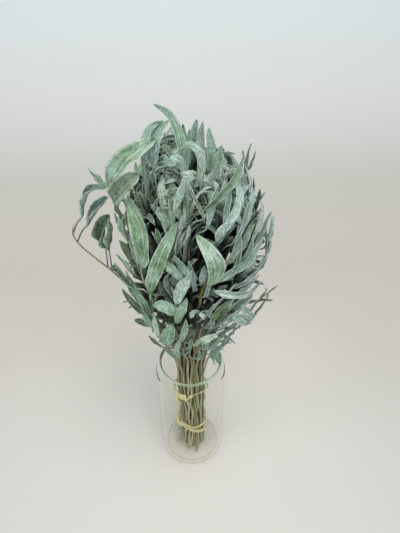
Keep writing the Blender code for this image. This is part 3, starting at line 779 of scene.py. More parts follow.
def vase_profile():
    """Half the vase's section: up inside from the floor's middle, over the rim and down outside."""
    inner = VASE_RADIUS - VASE_WALL
    bead = RIM_BEAD / 2
    bead_top = VASE_HEIGHT - bead
    neck = RIM_RADIUS - RIM_BEAD
    walls = np.linspace(VASE_FLOOR + VASE_INNER_CORNER, VASE_HEIGHT - SHOULDER_HEIGHT, 8)[1:-1]
    outside = np.linspace(VASE_FOOT_CORNER, VASE_HEIGHT - SHOULDER_HEIGHT, 8)[1:-1]
    return np.vstack(
        [
            np.stack([np.linspace(0.002, inner - VASE_INNER_CORNER, 6)[:-1], np.full(5, VASE_FLOOR)], 1),
            arc((inner - VASE_INNER_CORNER, VASE_FLOOR + VASE_INNER_CORNER), VASE_INNER_CORNER, -90, 0, 9),
            np.stack([np.full(len(walls), inner), walls], 1),
            shoulder(inner, neck, bead_top),
            arc((RIM_RADIUS - bead, bead_top), bead, 180, 0, 13)[1:-1],
            shoulder(VASE_RADIUS, RIM_RADIUS, bead_top)[::-1],
            np.stack([np.full(len(outside), VASE_RADIUS), outside[::-1]], 1),
            arc((VASE_RADIUS - VASE_FOOT_CORNER, VASE_FOOT_CORNER), VASE_FOOT_CORNER, 0, -90, 12),
            np.stack([np.linspace(VASE_RADIUS - VASE_FOOT_CORNER, 0.002, 6)[1:], np.zeros(5)], 1),
        ]
    )


def build_vase():
    """The profile turned about Z: point = (radius cos a, radius sin a, height), its floor closed.

    The rim and the inner floor's corner have glass of their own.
    """
    profile = vase_profile()
    angle = np.arange(VASE_STEPS) * math.tau / VASE_STEPS
    radius, height = profile[:, 0][:, None], profile[:, 1][:, None]
    points = np.stack([radius * np.cos(angle), radius * np.sin(angle), height + 0 * angle], -1)
    middles = np.array([[0, 0, VASE_FLOOR], [0, 0, 0]])
    row = np.arange(len(profile) - 1)[:, None] * VASE_STEPS
    k = np.arange(VASE_STEPS)
    after = (k + 1) % VASE_STEPS
    quads = np.stack([row + k, row + VASE_STEPS + k, row + VASE_STEPS + after, row + after], -1)
    quads = quads.reshape(-1, 4)
    total = points.shape[0] * VASE_STEPS
    last = total - VASE_STEPS
    pairs = list(zip(k.tolist(), after.tolist()))
    inside = [[total, a, b] for a, b in pairs]
    under = [[total + 1, last + b, last + a] for a, b in pairs]
    high = np.minimum(profile[:-1, 1], profile[1:, 1]) > VASE_HEIGHT - RIM_BEAD * 0.55
    corner = np.abs(profile[:-1, 0] - BASE_RING) < 0.0012
    corner &= (profile[:-1, 1] > VASE_FLOOR - 0.0001) & (profile[:-1, 1] < VASE_FLOOR + VASE_INNER_CORNER)
    slots = np.concatenate([np.repeat(high + 2 * corner, VASE_STEPS), np.zeros(2 * VASE_STEPS, int)])
    glass = (
        glass_material("clear_glass", "#fefefb", 1.0, 0.0),
        glass_material("rim_glass", "#cfe6c8", 0.66, 0.05),
        glass_material("base_ring_glass", "#c9c8b4", 0.45, 0.1),
    )
    points = np.vstack([points.reshape(-1, 3), middles])
    vase = surface_object("vase", points, quads.tolist() + inside + under, glass, slots)
    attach(vase, "root")
    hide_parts("glass_vase")


# The stems' ways


def bundle_radius(height):
    """How far from the axis the outermost stems' centres are at a height."""
    foot = FOOT_SPREAD * np.maximum(0.0, 1 - height / FOOT_SPREAD_HEIGHT)
    return GATHER_RADIUS + foot + FAN_SPREAD * smooth((height - FAN_START) / FAN_HEIGHT)


def fan_points(share, angle, heights):
    """Where a stem of the round bunch is at each height."""
    radius = share * bundle_radius(heights)
    return np.stack([radius * math.cos(angle), radius * math.sin(angle), heights], 1)


def angle_between(a, b):
    """The angle between two directions, however many turns apart they are."""
    return abs((a - b + math.pi) % math.tau - math.pi)


def sprig_ways(dice):
    """{name: (points of the stem's middle line, height of the lowest leaves, share of the radius)}."""
    places = [(math.sqrt((k + 0.5) / BUNCH_COUNT), k * GOLDEN_ANGLE % math.tau) for k in range(BUNCH_COUNT)]
    outer = sorted(range(BUNCH_COUNT), key=lambda k: -places[k][0])[:16]
    low = VASE_FLOOR + GAP
    ways = {}
    for name, (side, way) in LONE_SPRIGS.items():
        taken = min(outer, key=lambda k: angle_between(places[k][1], math.radians(side)))
        outer.remove(taken)
        held = fan_points(*places[taken], np.array([low, 0.02, FOOT_SPREAD_HEIGHT, 0.07, 0.113, FAN_START]))
        ways[name] = through(np.vstack([held, way]), 10), way[0][2], places[taken][0]
        places[taken] = None
    number = 1
    for place in places:
        if place is None:
            continue
        share, angle = place
        top = INNER_TIP + (OUTER_TIP - INNER_TIP) * share**2.2 + dice.uniform(-TIP_VARIATION, TIP_VARIATION)
        lowest = INNER_LEAF_START + (OUTER_LEAF_START - INNER_LEAF_START) * share**2
        ways[f"sprig_{number:02d}"] = fan_points(share, angle, np.linspace(low, top, 60)), lowest, share
        number += 1
    return ways


def wandered(way, leans, dice):
    """A way that leans to the bunch's full side if it's of the round, bent by two sine waves each way."""
    z = way[:, 2]
    free = smooth((z - FAN_START) / 0.06) * 1.6 + 1.1 + 1.1 * np.exp(-(((z - 0.088) / 0.016) ** 2))
    bent = way.copy()
    if leans:
        side = np.arctan2(way[:, 1], way[:, 0])
        bent[:, :2] *= 1 + (OUTLINE_SKEW * np.cos(side - FULL_SIDE) * smooth((z - 0.165) / 0.09))[:, None]
    flare = smooth((0.036 - z) / 0.034)
    bent[:, 0] += flare * (dice.gauss(-0.0012, 0.0012))
    bent[:, 1] += flare * (dice.gauss(-0.0012, 0.0012))
    for axis in (0, 1):
        for waves in (9.0, 23.0):
            phase = dice.uniform(0, math.tau)
            reach = STEM_WANDER * dice.uniform(0.4, 1.0) * free
            bent[:, axis] += reach * np.sin(z * math.tau * waves + phase)
    foot = dice.choice((0.0, 0.002, 0.004, 0.007, 0.011))
    return bent[bent[:, 2] >= foot + 0.002] if foot else bent


# Stems


def add_stem(skin, way, dice, tone, green, painted_shade, nodes_at, thick=STEM_THICK, thin=STEM_THIN, slot=1):
    """A square stem with rounded ribs along its way, swollen at its leaf nodes.

    Radius = taper times (1 + a cosine of four times the angle) plus a bell at each node.
    """
    length = length_of(way)
    rings = max(6, int(length / STEM_RING))
    path = evenly(way, rings)
    ahead = directions(path)
    out = square_to(ahead, np.array([1.0, 0.15, 0.0]))
    side = np.cross(ahead, out)
    s = np.linspace(0, 1, rings)
    taper = thick + (thin - thick) * s**1.4
    swell = np.zeros(rings)
    for height in nodes_at:
        swell += 0.00045 * np.exp(-(((path[:, 2] - height) / 0.0022) ** 2))
    angle = np.arange(STEM_SIDES) * math.tau / STEM_SIDES
    turn = dice.uniform(0, math.pi) + dice.uniform(-2, 2) * s
    ribs = 1 + 0.17 * np.cos(4 * (angle[None] + turn[:, None]))
    radius = (taper * dice.uniform(0.66, 1.04) + swell)[:, None] * ribs
    ring = path[:, None] + radius[..., None] * (
        np.cos(angle)[None, :, None] * out[:, None] + np.sin(angle)[None, :, None] * side[:, None]
    )
    lie = np.zeros(ring.shape)
    lie[..., 0] = angle / math.tau
    lie[..., 1] = (s * length)[:, None]
    lie[0, :, 2] = 0.8
    lie[-2:, :, 2] = 0.8
    tint = np.zeros(ring.shape)
    tint[..., 0] = tone
    tint[..., 1] = green
    tint[..., 2] = painted_shade(path)[:, None]
    skin.tubes(ring[None], lie[None], tint[None], slot)


# Leaves


def leaf_spines(base, way, face, length, bend, hook, sway, rings):
    """(points, directions, face normals) of leaves' middle lines, as arrays (leaf, ring, xyz).

    A leaf's direction turns from its first way towards its face by bend times v to the 1.3 plus
    hook over the last third, and sideways by sway times v, v being the share of its length.
    """
    v = np.linspace(0, 1, rings)[None]
    beta = bend[:, None] * v**1.3 + hook[:, None] * smooth((v - 0.55) / 0.45)
    gamma = sway[:, None] * v
    cross = np.cross(way, face)
    cb, sb, cg, sg = (f(a)[..., None] for a in (beta, gamma) for f in (np.cos, np.sin))
    w, f, c = way[:, None], face[:, None], cross[:, None]
    ahead = w * cb * cg + f * sb + c * cb * sg
    normal = -w * sb * cg + f * cb - c * sb * sg
    steps = ahead * (length / (rings - 1))[:, None, None]
    points = base[:, None] + np.cumsum(steps, axis=1) - steps * 0.5 - steps[:, :1] * 0.5
    return points, ahead, normal


def leaf_shells(points, ahead, normal, leaf, around):
    """Leaves as closed tubes (leaf, ring, around, xyz) about their middle lines, with their lie.

    Across, a leaf is an arc of radius (half width / roll), creased at the midrib by fold, and its
    shell is a flat ellipse: thickness times the sine round it. Its half width follows a sine of v
    from a narrow petiole to a blunt tip, each margin uneven by a sine of its own. The margins
    ripple by sines of v, and the blade is rumpled by a sine times a cosine of v and the place
    across. Rolled leaves ripple less.
    """
    v = np.linspace(0, 1, points.shape[1])[None]
    get = lambda key: leaf[key][:, None]
    blade = np.clip((v - get("petiole")) / (1 - get("petiole")), 0, 1)
    shape = np.sin(math.pi * blade ** get("fullest")) ** get("blunt")
    calm = 1 / (1 + (get("roll") / 1.1) ** 2)[..., None]
    half = np.maximum(get("width") * shape, LEAST_HALF_WIDTH * (1 - smooth((v - 0.9) / 0.1) * 0.9))
    roll = get("roll") * (0.75 + 0.25 * np.cos(v * 5.0 + get("phase")))
    bend_radius = get("width") / np.maximum(roll, 0.05)
    theta = np.arange(around) * math.tau / around
    uneven = np.sin((8.0 * v + get("phase"))[..., None] + 1.5 * np.sign(np.cos(theta)))
    a = half[..., None] * np.cos(theta) * (1 + 0.12 * uneven)
    phi = a / bend_radius[..., None]
    r = bend_radius[..., None]
    turned = get("twist") * (v - 0.2)
    side = np.cross(ahead, normal)
    n = turned_about(ahead, normal, turned)
    b = turned_about(ahead, side, turned)
    across = r * np.sin(phi)
    lift = r * (1 - np.cos(phi)) + get("fold")[..., None] * np.abs(a)
    edge = np.cos(theta)
    wave = np.sin(math.tau * (get("waves") * v)[..., None] + get("phase")[..., None] + edge * 1.7)
    lift = lift + calm * get("ripple")[..., None] * wave * edge**2 * shape[..., None]
    slow = np.sin(math.tau * 1.7 * v + 2.0 * get("phase"))[..., None] * 0.5
    lift = lift + calm * get("ripple")[..., None] * slow * edge * shape[..., None]
    rumple = np.sin((17.0 * v + 3.0 * get("phase"))[..., None] + 4.2 * edge)
    rumple = rumple * np.cos(9.0 * v[..., None] - 3.1 * edge)
    lift = lift + calm**0.5 * get("rumple")[..., None] * rumple * shape[..., None]
    thick = LEAF_THICK + 0.00030 * (1 - shape[..., None])
    nx, nz = -np.sin(phi), np.cos(phi)
    shell = thick * np.sin(theta)
    x = across + nx * shell
    z = lift + nz * shell
    rings_out = points[:, :, None] + b[:, :, None] * x[..., None] + n[:, :, None] * z[..., None]
    lie = np.zeros(rings_out.shape)
    lie[..., 0] = edge
    lie[..., 1] = v[..., None]
    lie[..., 2] = np.sin(theta)
    return rings_out, lie


def outline_radius(points):
    """The bunch's radius at the points' heights and on their sides."""
    round_radius = np.interp(points[..., 2], OUTLINE_HEIGHTS, OUTLINE_RADII)
    side = np.arctan2(points[..., 1], points[..., 0])
    return round_radius * (1 + OUTLINE_SKEW * np.cos(side - FULL_SIDE))


def stem_painted_shade(points):
    """Painted shade on the stems: 0 on the outside of the gathered stems to 1 in their middle, and as the
    leaves have it above them.
    """
    radius = np.hypot(points[..., 0], points[..., 1])
    gathered = smooth((0.74 - radius / bundle_radius(points[..., 2])) / 0.25)
    return np.maximum(gathered * (points[..., 2] < 0.20), painted_shade_within(points))


def painted_shade_within(points):
    """How much painted shade a place gets: 0 on the bunch's outside to 1 well inside it, darkening the leaves
    and stems within.
    """
    inside = 1 - np.hypot(points[..., 0], points[..., 1]) / np.maximum(outline_radius(points), 0.004)
    height = points[..., 2]
    dark = smooth(np.clip(inside / 0.235, 0, 1) * np.clip((0.440 - height) / 0.07, 0, 1))
    return dark * smooth((height - 0.205) / 0.09)


class Crowd:
    """How full each small cube of space is, so that a new leaf can go where there is room."""

    cell = 0.0024
    low = np.array([-0.115, -0.085, 0.150])
    cells = (96, 71, 125)

    def __init__(self):
        self.full = np.zeros(self.cells, np.float32)

    def index(self, points):
        """The cubes' indices for points, held inside the grid."""
        k = ((points - self.low) / self.cell).astype(int)
        return tuple(np.clip(k[..., axis], 0, self.cells[axis] - 1) for axis in range(3))

    def at(self, points):
        """How full space is at points."""
        return self.full[self.index(points)]

    def fill(self, points, amount=1.0):
        """Adds to the cubes that hold points, once for each point."""
        np.add.at(self.full, self.index(points), amount)

    def fill_round(self, start, end, radius):
        """Fills the cubes nearer than a radius to the line between two points."""
        middles = self.low + self.cell * (np.stack(np.indices(self.cells), -1) + 0.5)
        share = np.clip((middles - start) @ (end - start) / ((end - start) @ (end - start)), 0, 1)
        away = np.linalg.norm(middles - start - share[..., None] * (end - start), axis=-1)
        self.full[away < radius] += CLEARING_FILL


def samples_of(points, normal, ahead, width):
    """Points over leaves' blades: the middle line and a line to each side at half its rolled width."""
    side = np.cross(ahead, normal) * width[:, None, None]
    return np.concatenate([points, points + side, points - side], axis=1)


def leaf_places(way, run, lowest, share, dice, rule):
    """(places for leaves as (distance along, turn, kind, how late), heights of the stem's nodes)."""
    start, end = float(np.interp(lowest, way[:, 2], run)), run[-1]
    s, turn = start + dice.uniform(0, LEAF_STEP), dice.uniform(0, math.pi)
    places, heights = [], []
    while s < end - 0.004 and np.interp(s, run, way[:, 2]) < rule.get("until", 1.0):
        late = (s - start) / max(end - start, 0.001)
        for half_turn in (0.0, math.pi):
            places.append((s, turn + half_turn, "pair", late))
            if dice.random() < rule["small_share"]:
                places.append((s, turn + half_turn + dice.uniform(0.5, 1.2), "small", late))
        heights.append(float(np.interp(s, run, way[:, 2])))
        s += LEAF_STEP * dice.uniform(0.8, 1.2)
        turn += math.pi / 2 + dice.uniform(-0.3, 0.3)
    for k in range(rule["tuft"]):
        places.append((end - dice.uniform(0.0, 0.008), turn + k * GOLDEN_ANGLE, "tuft", 1.0))
    if share < FINGER_SHARE and rule["tuft"]:
        places.append((end - 0.004, turn, "finger", 1.0))
        if dice.random() < 0.5:
            places.append((end - 0.008, turn + 2.2, "finger", 1.0))
    return places, heights


def past_outline(sample, kind, past):
    """How far each sample is out of bounds: past the outline, too high, too low or too far back."""
    outside = np.maximum(0, np.hypot(sample[..., 0], sample[..., 1]) - outline_radius(sample) - past)
    top = HIGHEST_LEAF + FINGER_RISE * (kind == "finger")
    top = top - TOP_FALL * np.maximum(0, sample[..., 0] - TOP_FALL_START)
    outside = outside / 0.003 * (kind != "finger") + np.maximum(0, sample[..., 2] - top) / 0.002
    outside += np.maximum(0, LOWEST_LEAF - sample[..., 2]) / 0.002
    outside += 4.0 * (sample[..., 1] > FARTHEST_BACK)
    return outside


def grown_leaves(way, lowest, share, crowd, dice, rule):
    """The leaves of one sprig, as a dictionary of arrays with one entry a leaf.

    They stand in opposite pairs, each pair turned a quarter from the last, with small leaves in
    their angles and a tuft at the tip. Of several ways that a leaf may lie, the one with most room
    is kept, and a leaf with no room is left off.
    """
    ahead, run = directions(way), run_along(way)
    places, heights = leaf_places(way, run, lowest, share, dice, rule)
    chosen = []
    for s, turn, kind, late in places:
        size = np.interp(np.interp(s, run, way[:, 2]), SIZE_HEIGHTS, LEAF_SIZES)
        lengths, tilts = LEAF_KINDS[kind]
        scale = {"finger": 1.0, "tuft": rule["tuft_size"]}.get(kind, size)
        length = dice.uniform(*(lengths or rule["length"])) * scale
        tilt = tries_of(dice.uniform, *tilts) * (1.15 - 0.55 * late if kind == "pair" else 1.0)
        base = np.array([np.interp(s, run, way[:, k]) for k in range(3)])
        along = unit(np.array([np.interp(s, run, ahead[:, k]) for k in range(3)]))
        first = square_to(along, np.array([math.cos(turn), math.sin(turn), 0.0]))
        spin = tries_of(dice.gauss, 0, 0.5)
        out = turned_about(along[None], np.repeat(first[None], LEAF_TRIES, 0), spin)
        go = along[None] * np.cos(tilt)[:, None] + out * np.sin(tilt)[:, None]
        face = square_to(go, -out + along * 0.2)
        bend = tries_of(dice.gauss, rule["bend"], 0.5)
        hooked = dice.random() < HOOKED_SHARE
        hook = np.array([dice.gauss(0, 0.5) + hooked * dice.uniform(-2.8, 2.4) for _ in range(LEAF_TRIES)])
        sway = tries_of(dice.gauss, 0, 0.22)
        start = np.repeat(base[None], LEAF_TRIES, 0)
        spines = leaf_spines(start, go, face, np.full(LEAF_TRIES, length), bend, hook, sway, TRY_RINGS)
        points, towards, normal = (part[:, 1:] for part in spines)
        sample = samples_of(points, normal, towards, np.full(LEAF_TRIES, SAMPLE_SIDE))
        past = rule["past"] + abs(dice.gauss(0, 0.003))
        past = past + (dice.random() < 0.15) * dice.uniform(0.002, 0.010)
        reach = np.hypot(sample[..., 0], sample[..., 1]) / outline_radius(sample)
        cost = np.minimum(crowd.at(sample), MOST_CROWDED_COUNTED).mean(1) * CROWDED_COST
        cost = cost + past_outline(sample, kind, past).mean(1) * OUTSIDE_COST
        cost = cost - np.minimum(reach, 1).mean(1) * REACH_GAIN
        best = int(cost.argmin())
        if cost[best] > LEAF_MOST_CROWDED:
            continue
        crowd.fill(sample[best])
        kept = dict(base=base, way=go[best], face=face[best], length=length)
        kept |= dict(bend=bend[best], hook=hook[best], sway=sway[best])
        chosen.append(kept | leaf_character(kind, length, base, dice, rule))
    if not chosen:
        return None, heights
    return {key: np.array([leaf[key] for leaf in chosen]) for key in chosen[0]}, heights


def tries_of(draw, *limits):
    """One draw for each of the ways that a leaf is tried."""
    return np.array([draw(*limits) for _ in range(LEAF_TRIES)])


def leaf_character(kind, length, base, dice, rule):
    """A leaf's own width, roll, fold, twist, ripple and colour.

    Leaves are greyer towards the right and the top, and paler at the top and low down.
    """
    hue = rule["hue"] - 0.20 * float(np.clip((base[0] - 0.005) / 0.03, -1, 1))
    hue -= 0.14 * float(smooth((base[2] - 0.36) / 0.05))
    lift = 0.12 * float(smooth((base[2] - 0.35) / 0.05)) + 0.17 * float(smooth((0.29 - base[2]) / 0.05))
    flat = dice.random() < rule["flat_share"]
    width = min(0.0054, length * (dice.uniform(0.066, 0.096) if flat else dice.uniform(0.064, 0.098)))
    roll = dice.uniform(0.4, 1.0) if flat else dice.uniform(1.4, 2.7)
    if dice.random() < 0.35:
        roll = -roll
    if kind == "finger":
        width, roll = length * 0.11, dice.uniform(2.0, 2.5)
    return dict(
        width=width,
        roll=roll,
        fold=dice.uniform(0.0, 0.45),
        twist=dice.gauss(0, 1.2),
        ripple=dice.uniform(0.0005, 0.0015) * (0.6 if kind == "small" else 1.0),
        rumple=width * dice.uniform(0.08, 0.24),
        waves=dice.uniform(2.0, 4.5),
        phase=dice.uniform(0, math.tau),
        blunt=dice.uniform(0.45, 0.70),
        petiole=dice.uniform(0.08, 0.20),
        fullest=dice.uniform(0.72, 0.98),
        tone=min(1.0, max(0.0, dice.gauss(0.66 + lift, 0.24))),
        hue=min(1.0, max(0.0, dice.gauss(hue, 0.18))),
    )


def add_leaves(skin, leaf, spine, around):
    """Puts leaves on a sprig's skin about their spines."""
    shells, lie = leaf_shells(*spine, leaf, around)
    tint = np.zeros(shells.shape)
    tint[..., 0] = leaf["tone"][:, None, None]
    tint[..., 1] = leaf["hue"][:, None, None]
    roll = leaf["roll"][:, None, None]
    # Painted shade on the inside of a tightly rolled leaf
    painted_roll_shade = 0.52 * np.clip(lie[..., 2] * np.sign(roll), 0, 1) * np.clip(np.abs(roll) - 1.0, 0, 1)
    tint[..., 2] = np.maximum(painted_shade_within(shells), painted_roll_shade)
    skin.tubes(shells, lie, tint, 0)


def clear_in_front(row, crowd):
    """Keeps room clear in front of a row of points."""
    for away in np.arange(0.0, CLEAR_DEPTH, Crowd.cell):
        crowd.fill(row + CLEAR_SIDE * away, SHOWN_FILL)


def nearest_start(ways, names, first):
    """(sprig, point) of where a leaf whose blade starts at first grows from.

    It's 4 to 45 mm lower, where the distance across plus 0.4 of the distance from 18 mm below is
    least.
    """
    best = None
    for name in names:
        way = ways[name][0]
        below = (way[:, 2] < first[2] - 0.004) & (way[:, 2] > first[2] - 0.045)
        for start in way[below]:
            lean = first - start
            away = np.hypot(lean[0], lean[1]) + 0.4 * abs(lean[2] - 0.018)
            if best is None or away < best[0]:
                best = away, name, start
    return best[1:]


def shown_character(width, roll, fold, tone, hue, dice):
    """A listed leaf's values: those it is given, scaled, and its own twist and ripples."""
    return dict(
        width=width * SHOWN_WIDTH / 1000,
        roll=roll,
        fold=fold,
        twist=dice.gauss(0, 0.4),
        waves=dice.uniform(2, 4),
        blunt=0.5 if abs(roll) > 1.2 else 0.66,
        rumple=width * dice.uniform(0.14, 0.24) / 1000,
        ripple=dice.uniform(0.0010, 0.0018),
        phase=dice.uniform(0, math.tau),
        tone=tone * SHOWN_TONE,
        hue=hue * SHOWN_HUE,
        fullest=0.85,
    )


def standing_out(ways, crowd, dice):
    """{sprig: its listed leaves}, each leaf as (spine, values); room is kept clear before them."""
    grown = {name: [] for name in ways}
    round_ones = [name for name in ways if name not in LONE_SPRIGS]
    for sprig, (points, *character) in [(sprig, leaf) for sprig, leaves in STANDING_OUT for leaf in leaves]:
        points = np.array(points, float) / 1000
        name, start = nearest_start(ways, (sprig,) if sprig else round_ones, points[0])
        middle = 0.5 * (start + points[0]) + np.array([0.0, 0.0, 0.002])
        path = evenly(through(np.vstack([start, middle, points]), 8), SHOWN_RINGS)
        ahead = directions(path)
        outward = path * np.array([1.0, 1.0, 0.0]) / 0.06 + np.array([0.0, -0.25, 0.35])
        normal = square_to(ahead, outward)
        values = shown_character(*character, dice)
        values["petiole"] = 1 - length_of(evenly(through(points, 8), 20)) / length_of(path)
        values = {key: np.array([value]) for key, value in values.items()}
        grown[name].append(((path[None], ahead[None], normal[None]), values))
        side = np.cross(ahead, normal) * character[0] / 1000 * 0.5
        clear_in_front(np.concatenate([path[4:], path[4:] + side[4:], path[4:] - side[4:]]), crowd)
    return grown


def clear_before(way, low, high, crowd):
    """Keeps room clear in front of a stem between two heights."""
    clear_in_front(evenly(way[(way[:, 2] > low) & (way[:, 2] < high)], 60), crowd)


# How a sprig's leaves grow: their lengths, how often with small ones, the tuft at its tip, how they
# bend, how far past the outline they may reach, how often they are flat, and their hue
SPRIG_RULE = dict(
    length=(0.044, 0.068),
    small_share=0.55,
    tuft=6,
    tuft_size=1.15,
    bend=-0.15,
    past=0.0,
    flat_share=0.2,
    hue=0.50,
)
LONE_RULES = {
    "drooping_sprig": dict(length=(0.026, 0.036), small_share=0.6, tuft=0, past=0.06, until=0.262),
    "tall_left_sprig": dict(length=(0.022, 0.036), small_share=0.1, tuft=0, past=0.012),
    "low_right_sprig": dict(length=(0.015, 0.026), small_share=0.2, tuft=2, tuft_size=0.4, past=0.012),
    "shrivelled_sprig": dict(length=(0.012, 0.020), small_share=0.2, tuft=0),
}
# Each kind of leaf's shortest and longest, or None for its sprig's, and least and most tilt
LEAF_KINDS = {
    "pair": (None, (0.08, 0.56)),
    "small": ((0.014, 0.030), (0.2, 0.9)),
    "finger": ((0.034, 0.048), (0.0, 0.25)),
    "tuft": ((0.024, 0.048), (0.03, 0.40)),
}
# Between which heights leaves keep from in front of a stem
SEEN_STEMS = {"tall_left_sprig": (0.25, 0.40), "cut_stem": (0.21, 0.36), "drooping_sprig": (0.26, 0.36)}
LONE_TONES = {"tall_left_sprig": 0.85, "drooping_sprig": 0.35, "low_right_sprig": 0.95}


def build_sprigs():
    """Every sprig, each in the place of the plain one of its name."""
    leaf, stem = leaf_material(), stem_material()
    ways = sprig_ways(random.Random(11))
    dice = random.Random(29)
    for name, (way, lowest, share) in ways.items():
        ways[name] = wandered(way, name not in LONE_SPRIGS, dice), lowest, share
    crowd = Crowd()
    for way, _, _ in ways.values():
        crowd.fill(evenly(way[way[:, 2] > LOWEST_LEAF], 90), STEM_FILL)
    shown = standing_out(ways, crowd, dice)
    for start, end, radius in CLEARINGS:
        crowd.fill_round(np.array(start) / 1000, np.array(end) / 1000, radius / 1000)
    for name, (low, high) in SEEN_STEMS.items():
        clear_before(ways[name][0], low, high, crowd)
    for name, (way, lowest, share) in ways.items():
        skin = Skin()
        heights = []
        if name != "cut_stem":
            rule = SPRIG_RULE | LONE_RULES.get(name, {})
            leaves, heights = grown_leaves(way, lowest, share, crowd, dice, rule)
            if leaves:
                lain = [leaves[key] for key in ("base", "way", "face", "length", "bend", "hook", "sway")]
                add_leaves(skin, leaves, leaf_spines(*lain, LEAF_RINGS), LEAF_AROUND)
        for spine, values in shown[name]:
            add_leaves(skin, values, spine, SHOWN_AROUND)
        hue = 1.0 if name == "cut_stem" else min(1.0, max(0.0, dice.gauss(0.0, 0.18)))
        tone = LONE_TONES.get(name, dice.uniform(0.05, 1.0))
        add_stem(skin, way, dice, tone, hue, stem_painted_shade, heights)
        sprig = skin.object(name + "_grown", (leaf, stem))
        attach(sprig, "root")
        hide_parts(name)


# The raffia


def wrap_radius(height):
    """How far from the axis a strand lies on the gathered stems."""
    return bundle_radius(height) + STEM_THICK + 0.0009


def add_strand(skin, path, width, thick, dice, tone, painted_shade=0.0, outward=None, twist=0.0):
    """A flat strand carried along a path: an ellipse of width by thick whose flat side faces outward."""
    ahead = directions(path)
    if outward is None:
        outward = path * np.array([1.0, 1.0, 0.0])
    normal = square_to(ahead, outward)
    side = np.cross(ahead, normal)
    s = np.linspace(0, 1, len(path))
    turned = twist * s + 0.25 * np.sin(s * 9 + dice.uniform(0, 6))
    normal, side = turned_about(ahead, normal, turned), turned_about(ahead, side, turned)
    width = np.broadcast_to(width, s.shape) * (1 + 0.12 * np.sin(s * 23 + dice.uniform(0, 6)))
    angle = np.arange(14) * math.tau / 14
    ribs = 1 + 0.16 * np.cos(5 * angle)
    across = (width / 2)[:, None] * np.cos(angle)
    lift = (np.broadcast_to(thick, s.shape) / 2)[:, None] * np.sin(angle) * ribs
    ring = path[:, None] + side[:, None] * across[..., None] + normal[:, None] * lift[..., None]
    lie = np.zeros(ring.shape)
    lie[..., 0] = np.cos(angle)
    lie[..., 1] = run_along(path)[:, None]
    lie[..., 2] = dice.uniform(0, 1)
    tint = np.zeros(ring.shape)
    tint[..., 0] = tone
    tint[..., 2] = painted_shade
    skin.tubes(ring[None], lie[None], tint[None], 0)


def wrapped(places, rise=0.0, away=0.0):
    """Points round the stems through places of (side, height, distance out)."""
    angle, height, out = (evenly(through(places, 14), 30 * len(places)) * (math.radians(1), 0.001, 0.001)).T
    height = height + rise
    radius = wrap_radius(height) + out + away
    return np.stack([radius * np.cos(angle), radius * np.sin(angle), height], 1)


def add_knot(skin, side, height, size, dice):
    """An overhand knot: a strand carried along a trefoil, flattened against the stems."""
    t = np.linspace(0, math.tau, 60)
    across = np.sin(t) + 2 * np.sin(2 * t)
    up = np.cos(t) - 2 * np.cos(2 * t)
    out = -np.sin(3 * t)
    angle, height = math.radians(side), height / 1000
    size = size / 3000
    radius = wrap_radius(height) + 0.0016 + out * size * 0.9
    beside = np.array([-math.sin(angle), math.cos(angle), 0.0])
    path = radius[:, None] * np.array([math.cos(angle), math.sin(angle), 0.0])
    path = path + (across * size * 1.25)[:, None] * beside
    path[:, 2] = height + up * size * 0.75
    add_strand(skin, path, size * 2.6, size * 1.7, dice, 0.62)


def build_raffia():
    """One strand of raffia in loose plies: turns, a run up the side, a broad bulge and knots."""
    dice = random.Random(5)
    skin = Skin()
    for places, plies in RAFFIA.values():
        for width, thick, rise, away in plies:
            path = wrapped(places, rise / 1000, away / 1000)
            wander = np.linspace(0, 1, len(path)) * len(places)
            path[:, 2] += 0.0003 * np.sin(wander * dice.uniform(3, 5) + dice.uniform(0, 6))
            to_end = np.minimum(np.linspace(0, 1, len(path)), np.linspace(1, 0, len(path)))
            ends = np.minimum(1, 0.45 + 5 * to_end)
            add_strand(skin, path, width / 1000 * ends, thick / 1000, dice, dice.uniform(0.3, 0.9))
    for side, height, size in KNOTS:
        add_knot(skin, side, height, size, dice)
    tie = skin.object("raffia_strands", (raffia_material(),))
    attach(tie, "root")
    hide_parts("raffia_tie")


# The floor, the lights and the camera


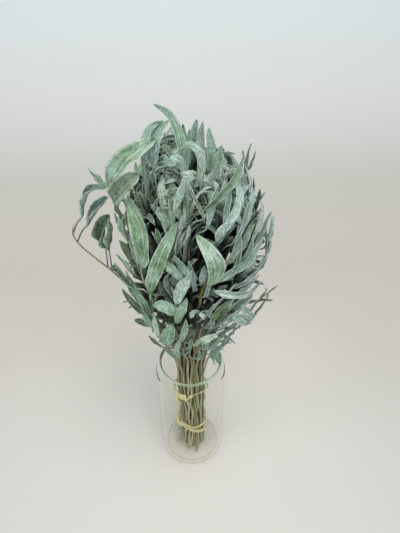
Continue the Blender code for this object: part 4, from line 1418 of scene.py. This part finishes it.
def build_floor():
    """A pale seamless sweep: flat, then up far behind by a quarter of an ellipse."""
    n = Nodes("floor", Roughness=0.9, Specular_IOR_Level=0.2)
    place = n.add("SeparateXYZ", {0: n.place()}).outputs
    # Painted light and shade: colour bands by depth, paler far behind and on the wall, stand in for how light
    # falls across the sweep
    near = ((0.0, "#d3d3d4"), (0.20, "#cdcac6"), (0.39, "#cbc4bd"))
    far = ((0.54, "#d3cfc8"), (0.77, "#ecebea"), (0.92, "#f4fbff"))
    painted_floor_light_bands = n.ramp(n.maths("ADD", n.maths("MULTIPLY", place[1], 0.38), 0.24), near + far)
    # Painted light: the floor is made paler near the vase, against the shade that the bunch casts there
    away = n.add("VectorMath", {0: n.place((1.0, 1.0, 0.0))}, operation="LENGTH").outputs["Value"]
    n.link(n.times(painted_floor_light_bands, n.ramp(away, ((0.0, 1.16), (0.12, 1.12), (0.34, 1.0)))), "Base Color")
    y = np.concatenate([np.linspace(-1.6, 1.0, 27), 1.0 + 0.8 * np.sin(np.linspace(0.08, math.pi / 2, 20))])
    z = np.concatenate([np.zeros(27), 0.8 - 0.8 * np.cos(np.linspace(0.08, math.pi / 2, 20))]) - 0.0005
    y, z = np.append(y, 1.8), np.append(z, 2.6)
    x = np.linspace(-2.4, 2.4, 9)
    points = np.stack([x[None] + 0 * y[:, None], y[:, None] + 0 * x[None], z[:, None] + 0 * x[None]], -1)
    row = np.arange(len(y) - 1)[:, None] * len(x)
    k = np.arange(len(x) - 1)
    faces = np.stack([row + k, row + k + 1, row + len(x) + k + 1, row + len(x) + k], -1).reshape(-1, 4)
    surface_object("floor", points.reshape(-1, 3), faces.tolist(), (n.material,))


def area_light(name, place, target, size, power, colour):
    """A square soft light that faces a point."""
    data = bpy.data.lights.new(name, "AREA")
    data.shape = "SQUARE"
    data.size = size
    data.energy = power
    data.color = colour
    light = bpy.data.objects.new(name, data)
    light.location = place
    light.rotation_euler = (Vector(target) - Vector(place)).to_track_quat("-Z", "Y").to_euler()
    bpy.context.scene.collection.objects.link(light)


def build_lights():
    """A soft bright sky, a large light above in front and a weaker one to the left."""
    scene = bpy.context.scene
    scene.world = bpy.data.worlds.new("soft_sky")
    scene.world.use_nodes = True
    background = scene.world.node_tree.nodes["Background"]
    background.inputs["Color"].default_value = (0.955, 1.0, 0.985, 1.0)
    background.inputs["Strength"].default_value = 0.66
    area_light("overhead", (0.20, -0.45, 1.6), (0, 0, 0.2), 0.8, 12.0, (1.0, 0.99, 0.97))
    area_light("left", (-1.3, -0.5, 1.1), (0, 0, 0.25), 0.7, 4.0, (0.97, 0.99, 1.0))
    scene.view_settings.view_transform = "Standard"


def build_camera():
    """The camera: above and in front, looking down at the bunch."""
    data = bpy.data.cameras.new("camera")
    data.lens = 27.0
    camera = bpy.data.objects.new("camera", data)
    camera.location = (0.0, -0.301, 0.524)
    camera.rotation_euler = (math.radians(53.0), 0.0, math.radians(-2.06))
    bpy.context.scene.collection.objects.link(camera)
    bpy.context.scene.camera = camera


def main():
    """Builds the whole scene."""
    build_camera()
    build_lights()
    build_floor()
    build_vase()
    build_sprigs()
    build_raffia()


main()
